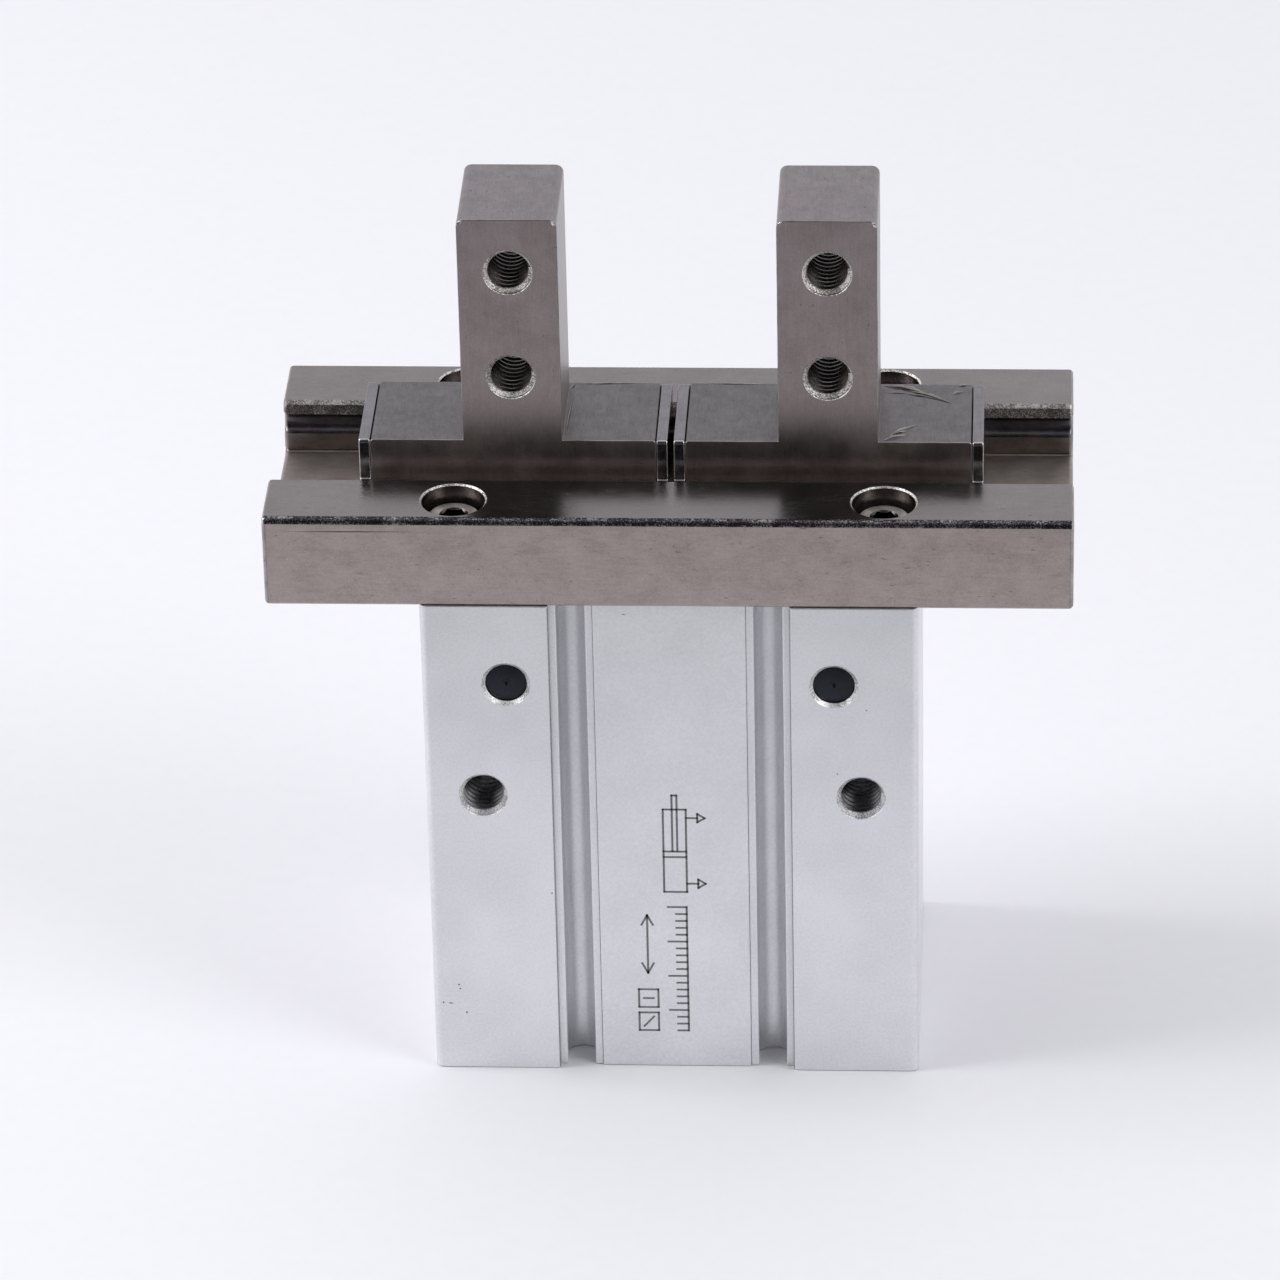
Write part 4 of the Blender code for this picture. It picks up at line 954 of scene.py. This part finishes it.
def make_finger(sign, side):
    low, high = cad_box(f"finger_{side}")
    middle = cad_middle(f"finger_{side}").x
    half = cad_half(f"finger_{side}").x
    outline = [(half, low.z, 0), (half, SLIDER_TOP, 0.38), (FINGER_HALF, SLIDER_TOP, 0.12),
               (FINGER_HALF, high.z, 0.95)]
    outline = [(middle + u, v) for u, v in rounded(mirrored(outline))]
    finger = draft(prism(outline, -FINGER_HALF_DEPTH, FINGER_HALF_DEPTH, "Y", FINGER_RIM),
                   FINGER_SIDE)
    foot_half, foot_top = SLIDER_FOOT
    carve(finger, [block((low.x + 0.05, -foot_half, low.z), (high.x - 0.05, foot_half, foot_top),
                         0.12)], FINGER_SIDE, "UNION")
    ball = cad_middle(f"ball_back_{side}_1")
    tools = [drill(BALL_GROOVE, 30, (middle, y, ball.z), "+X") for y in (-ball.y, ball.y)]
    pocket_x = cad_middle(f"finger_roller_{side}").x
    pocket_half, pocket_y, roof = ROLLER_POCKET
    tools.append(block((pocket_x - pocket_half, -pocket_y, low.z - 1),
                       (pocket_x + pocket_half, pocket_y, roof)))
    taps = [((middle, -FINGER_HALF_DEPTH, high.z - drop), "-Y", 2 * FINGER_HALF_DEPTH, M6, True)
            for drop in FINGER_TAP_DROPS]
    tools += [tap_tool(*tap) for tap in taps]
    # Painted shade: the ball grooves, roller pocket and tapped holes take the dark hole steel.
    carve(finger, tools, HOLE_STEEL_SHADE)
    marks = DECK_GOUGES if side == "right" else LEFT_GOUGES
    carve(finger, [gouge(*mark, SLIDER_TOP) for mark in marks], GOUGE)
    # Painted highlight: small nicks at both top front corners, in the bright pitted rim finish,
    # stand for the corner glints.
    corners = [((middle + u * (FINGER_HALF - 0.05), high.z - 0.85),
                (middle + u * (FINGER_HALF - 0.75), high.z - 0.05)) for u in (-1, 1)]
    carve(finger, [front_gouge(start, end, 0.5, -FINGER_HALF_DEPTH) for start, end in corners],
          STEEL_RIM_HIGHLIGHT)
    add_islands(finger, [lip(*mark, SLIDER_TOP) for mark in marks], EDGE)
    # Painted highlight: the tap mouths' chamfers take the bright pitted rim finish instead of the
    # dark hole steel.
    paint(finger, STEEL_RIM_HIGHLIGHT, lambda c, n: 0.2 < abs(n.y) < 0.95 and abs(c.y) > FINGER_HALF_DEPTH - 1
          and c.z > SLIDER_TOP, HOLE_STEEL_SHADE)
    # Painted light on the finger's threads: rim highlight at the mouth, highlighted crests further
    # down, painted shade deeper in.
    add_islands(finger, [thread_ridge(*tap) for tap in taps], STEEL_RIM_HIGHLIGHT, CREST_STEEL_HIGHLIGHT, HOLE_STEEL_SHADE)
    paint(finger, FINGER_FLANK, lambda c, n: abs(n.x) > 0.9 and abs(n.y) < 0.1
          and c.z > SLIDER_TOP)
    paint(finger, FINGER_TOP, lambda c, n: n.z > 0.3 and abs(n.y) < 0.1 and c.z > high.z - 1)
    paint(finger, SLIDER_DECK, lambda c, n: n.z > 0.1 and abs(n.y) < 0.1
          and abs(c.z - SLIDER_TOP) < 0.5)
    paint(finger, EDGE, lambda c, n: max(abs(n.x), abs(n.y), abs(n.z)) < 0.97
          and c.z > SLIDER_FOOT[1])
    stand_in(f"finger_{side}", settled(finger))


def make_stopper(node):
    low, high = cad_box(node)
    slider_low, slider_high = cad_box("finger_" + node.split("_")[-1])
    if high.x < slider_low.x:
        high.x = slider_low.x - STOPPER_GAP
    else:
        low.x = slider_high.x + STOPPER_GAP
    foot_half, foot_top = high.y, SLIDER_FOOT[1]
    outline = [(foot_half, low.z, 0.2), (foot_half, foot_top, 0.3),
               (FINGER_HALF_DEPTH, foot_top, 0.2), (FINGER_HALF_DEPTH, high.z, 0.5)]
    outline = rounded(mirrored(outline))
    stopper = draft(prism(outline, low.x, high.x, "X", 0.16), STOPPER)
    # Painted highlight: the stopper's front and back edges take the light edge finish.
    paint(stopper, EDGE_HIGHLIGHT, lambda c, n: abs(n.y) > 0.4 and abs(n.z) < 0.9
          and max(abs(n.x), abs(n.y)) < 0.97)
    stand_in(node, settled(stopper))


def make_balls():
    radius = cad_half("ball_back_right_1").z
    profile = arc(0, 0, radius, 90, -90, 24)
    profile[0] = (0, radius)
    profile[-1] = (0, -radius)
    mesh = settled(draft(lathe(profile, steps=48), POLISHED), 180)
    for node in sorted(n for n in BODY_OF if n.startswith("ball_")):
        stand_in(node, mesh, cad_middle(node))


# ---------------- pressure chamber and levers

def make_end_cap():
    low, high = cad_box("end_cap")
    radius = high.x
    bumper_low, bumper_high = cad_box("lower_bumper")
    seat_floor = bumper_low.z - 0.3
    bumper_bore = 7.9
    seat_inner = bumper_bore - 0.3
    seat_outer = bumper_high.x + 0.3
    groove_radius, groove_low, groove_high = CAP_GROOVE
    recess_radius, recess = CAP_RECESS
    recess += low.z
    corners = [(0, high.z, 0), (seat_inner, high.z, 0.15), (seat_inner, seat_floor, 0),
               (seat_outer, seat_floor, 0), (seat_outer, high.z, 0.15), (radius, high.z, 0.35),
               (radius, groove_high, 0.1), (groove_radius, groove_high, 0),
               (groove_radius, groove_low, 0), (radius, groove_low, 0.1), (radius, low.z, 0.35),
               (recess_radius + 0.2, low.z, 0.2), (recess_radius, recess, 0.3), (1.1, recess, 0.1),
               (0, recess + 1.0, 0)]
    turned_piece("end_cap", rounded(corners, 3), TURNED_ALUMINIUM)
    outer, _, cord = cad_half("cap_gasket")
    section = arc(outer - cord, cad_middle("cap_gasket").z, cord, 90, -255, 23)
    turned_piece("cap_gasket", section, RUBBER, closed=True)
    ring_piece("lower_bumper", RUBBER, bumper_bore, 0.35)


def make_retaining_ring():
    low, high = cad_box("retaining_ring")
    middle = (low.z + high.z) / 2
    outline = arc(0, 0, RING_OUTER, -78, 258, 96) + arc(0, 0, RING_EAR, 258, 248, 6)
    outline += arc(0, 0, RING_INNER, 243, -63, 84) + arc(0, 0, RING_EAR, -68, -78, 6)
    ring = draft(prism(outline, low.z, high.z, "Z", 0.12, 2), HARDENED)
    holes = [arc(0, 0, RING_EYES, angle, angle, 1)[0] for angle in (-73, 253)]
    # Painted shade: the ring's eyes take the dark hole steel.
    carve(ring, [drill(RING_EYE, 2, (x, y, middle), steps=32) for x, y in holes], HOLE_STEEL_SHADE)
    stand_in("retaining_ring", settled(ring))


def make_gland():
    ring_piece("rod_seal", RUBBER, 7.1, 0.3)
    ring_piece("seal_holder", HARDENED, 7.3, 0.15)
    ring_piece("upper_bumper", RUBBER, 10.4, 0.35)


def make_piston_unit():
    low, high = cad_box("piston")
    base = low.z
    radius = high.x
    room_radius, room_top = BOLT_ROOM
    seat_radius, seat_floor = ROD_SEAT
    corners = [(seat_radius, high.z, 0.2), (radius, high.z, 0.45)]
    for floor, bottom, top in PISTON_GROOVES:
        corners += [(radius, base + top, 0.12), (floor, base + top, 0), (floor, base + bottom, 0),
                    (radius, base + bottom, 0.12)]
    corners += [(radius, base, 0.45), (room_radius, base, 0.3), (room_radius, base + room_top, 0),
                (BOLT_HOLE, base + room_top, 0), (BOLT_HOLE, base + seat_floor, 0),
                (seat_radius, base + seat_floor, 0)]
    turned_piece("piston", rounded(corners, 3), TURNED_ALUMINIUM, closed=True)
    ring_piece("piston_seal", RUBBER, 13.2, 0.7)
    ring_piece("piston_magnet", MAGNET, 12.8, 0.2)
    bolt = make_screw("piston_bolt", head=4.0, grip=3.2, shank=2.4, socket=5.0)
    bolt.transform(Matrix.Rotation(math.pi, 4, "X"))
    stand_in("piston_bolt", bolt, (0, 0, cad_box("piston_bolt")[0].z))
    make_rod()
    for _, side in SIDES:
        round_pin(f"rod_pin_{side}")
        ring_piece(f"rod_roller_{side}", POLISHED, ROLLER_BORE, 0.2, "+Y")


def make_rod():
    low, high = cad_box("piston_rod")
    radius = high.x
    pin = cad_middle("rod_pin_right")
    shoulder = cad_box("piston")[1].z + 0.2
    tap_radius, tap_depth = ROD_TAP
    corners = [(0, high.z, 0), (radius, high.z, 0.6), (radius, shoulder, 0.15),
               (ROD_SPIGOT, shoulder, 0), (ROD_SPIGOT, low.z, 0.2), (tap_radius, low.z, 0.15),
               (tap_radius, low.z + tap_depth, 0), (0, low.z + tap_depth + 1.4, 0)]
    rod = draft(lathe(rounded(corners, 3)), POLISHED)
    half, below = ROD_FORK
    fork = rounded([(-half, pin.z - below, 0.8), (half, pin.z - below, 0.8), (half, high.z + 1, 0),
                    (-half, high.z + 1, 0)])
    tools = [prism(fork, -radius - 1, radius + 1, "X")]
    tools += [drill(PIN_HOLE, 9, (x, 0, pin.z), "+Y", 40) for x in (-pin.x, pin.x)]
    carve(rod, tools, HARDENED)
    stand_in("piston_rod", settled(rod))


def round_pin(node):
    """A ground pin along Y, with broken edges."""
    radius, half, _ = cad_half(node)
    corners = [(0, half, 0), (radius, half, 0.2), (radius, -half, 0.2), (0, -half, 0)]
    turned_piece(node, rounded(corners, 3), BLACKENED, "+Y", centre=cad_middle(node))


def make_lever(sign, side):
    """A bell crank drawn with its arms level and upright, then swung to the closed position."""
    low, high = cad_box(f"lever_{side}")
    pivot = JOINT_AT[f"lever_{side}_turn"]
    slot = 2.5
    tip = -18.4
    corners = [(tip, slot, 0.15), (tip, 4.2, 0.5), (-5.6, 4.2, 0.8), (-3.6, 6.2, 0.8)]
    rounds = (arc(0, 0, 5.0, -90, 0, 14) + arc(0, LEVER_UPPER, 2.6, 0, 180, 20),
              arc(-LEVER_INNER + 0.3, 0, slot, 90, -90, 20))
    hub, fork = ([(u, v, 0) for u, v in points] for points in rounds)
    outline = hub + list(reversed(corners)) + fork
    outline += [(u, -v, r) for u, v, r in corners[:2]] + [(-4.0, -4.2, 0.5)]
    outline = [(sign * u, v) for u, v in rounded(outline)]
    lever = draft(prism(outline, low.y, high.y, "Y", 0.12), HARDENED)
    roller = cad_half(f"finger_roller_{side}")
    room = roller.x + 0.4
    fork_half = roller.y + 0.3
    tools = [drill(SHAFT_BEARING, 9, (0, 0, 0), "+Y"), drill(PIN_HOLE, 9, (0, 0, LEVER_UPPER), "+Y")]
    tools.append(block((-4, -fork_half, LEVER_UPPER - room), (4, fork_half, LEVER_UPPER + 4)))
    # Painted shade: the lever's holes and fork take the dark hole steel.
    carve(lever, tools, HOLE_STEEL_SHADE)
    mesh = settled(lever)
    mesh.transform(Matrix.Rotation(-sign * LEVER_SWING, 4, "Y"))
    stand_in(f"lever_{side}", mesh, pivot)
    round_pin(f"finger_pin_{side}")
    ring_piece(f"finger_roller_{side}", POLISHED, ROLLER_BORE, 0.25, "+Y")


# ---------------- camera, light and floor

CAMERA_AZIMUTH = -3.37          # degrees to the right of looking along +Y
CAMERA_ELEVATION = 29.85
CAMERA_ROLL = -1.28
CAMERA_DISTANCE = 911.1         # mm
CAMERA_TARGET = (-4.63, 0.0, 49.97)
CAMERA_LENS = 207.8


def make_camera():
    turn, rise, roll = (math.radians(a) for a in (CAMERA_AZIMUTH, CAMERA_ELEVATION, CAMERA_ROLL))
    ahead = Vector((math.sin(turn) * math.cos(rise), math.cos(turn) * math.cos(rise),
                    -math.sin(rise)))
    right = Vector((math.cos(turn), -math.sin(turn), 0))
    up = right.cross(ahead)
    across = math.cos(roll) * right + math.sin(roll) * up
    upright = math.cos(roll) * up - math.sin(roll) * right
    data = bpy.data.cameras.new("camera")
    data.lens = CAMERA_LENS
    camera = show("camera", data)
    basis = Matrix((across, upright, -ahead)).transposed().to_4x4()
    place = (Vector(CAMERA_TARGET) - CAMERA_DISTANCE * ahead) * MM
    camera.matrix_world = Matrix.Translation(place) @ basis
    bpy.context.scene.camera = camera


# Painted shade on the floor: it darkens towards the front between these two Y values.
FLOOR_SHADE_SPAN = (-0.34, -0.075)    # Y in metres: the floor dims from the second to the first
FLOOR_GAP = 0.05                # mm under the body


def make_floor():
    """A white floor whose colour dims towards the front: painted shade, standing for the light
    falling off on the paper under the object.
    """
    finish = Finish("floor_paper", metallic=0.0, specular=0.2)
    fibre = finish.noise(0.4, detail=2.0)
    white = finish.ramp(fibre, (0.3, (0.885, 0.880, 0.925)), (0.7, (0.895, 0.890, 0.935)))
    axes = finish.node("SeparateXYZ", Vector=finish.place)
    reach = finish.math("DIVIDE", finish.math("SUBTRACT", axes.outputs["Y"], FLOOR_SHADE_SPAN[0]),
                        FLOOR_SHADE_SPAN[1] - FLOOR_SHADE_SPAN[0])
    # Painted shade: the floor's colour is multiplied by this ramp over Y.
    painted_shade = finish.ramp(reach, (0.0, 0.30), (0.55, 0.50), (1.0, 1.0))
    finish.colour(finish.mix(1.0, white, painted_shade, "MULTIPLY"))
    finish.roughness(0.7)
    bm = bmesh.new()
    bmesh.ops.create_grid(bm, x_segments=8, y_segments=8, size=3.0)
    floor = draft(bm, finish.material, "floor")
    floor.location.z = -FLOOR_GAP * MM


def make_world():
    """White studio surroundings, darker in front of the object where the photographer stands."""
    world = bpy.data.worlds.new("studio")
    bpy.context.scene.world = world
    world.use_nodes = True
    nodes = world.node_tree.nodes
    links = world.node_tree.links
    place = nodes.new("ShaderNodeTexCoord")
    towards = nodes.new("ShaderNodeVectorMath")
    towards.operation = "DOT_PRODUCT"
    towards.inputs[1].default_value = Vector((0.0, -0.866, 0.5))
    links.new(place.outputs["Generated"], towards.inputs[0])
    ramp = nodes.new("ShaderNodeValToRGB")
    steps = ramp.color_ramp.elements
    steps[0].position, steps[0].color = 0.66, (0.97, 0.97, 1.0, 1.0)
    steps[1].position, steps[1].color = 0.90, (0.03, 0.03, 0.033, 1.0)
    links.new(towards.outputs["Value"], ramp.inputs["Fac"])
    links.new(ramp.outputs["Color"], nodes["Background"].inputs["Color"])
    nodes["Background"].inputs["Strength"].default_value = 0.83


def add_light(name, place, watts):
    """A square softbox that faces the body."""
    data = bpy.data.lights.new(name, "AREA")
    data.shape = "SQUARE"
    data.size = 0.5
    data.energy = watts
    light = show(name, data)
    light.location = place
    aim = Vector((0, 0, 0.05)) - light.location
    light.rotation_euler = aim.to_track_quat("-Z", "Y").to_euler()


def main():
    make_camera()
    make_world()
    make_floor()
    add_light("softbox_left", (-0.85, -0.05, 0.70), 5.4)
    add_light("softbox_right", (0.9, -0.45, 0.80), 3.4)
    make_body()
    make_marking()
    make_rail()
    make_rail_screws()
    make_lever_shafts()
    for sign, side in SIDES:
        make_finger(sign, side)
        for end in ("inner", "outer"):
            make_stopper(f"stopper_{end}_{side}")
        make_lever(sign, side)
    make_balls()
    make_end_cap()
    make_retaining_ring()
    make_gland()
    make_piston_unit()


main()
scene = bpy.context.scene
scene.view_settings.view_transform = "Standard"
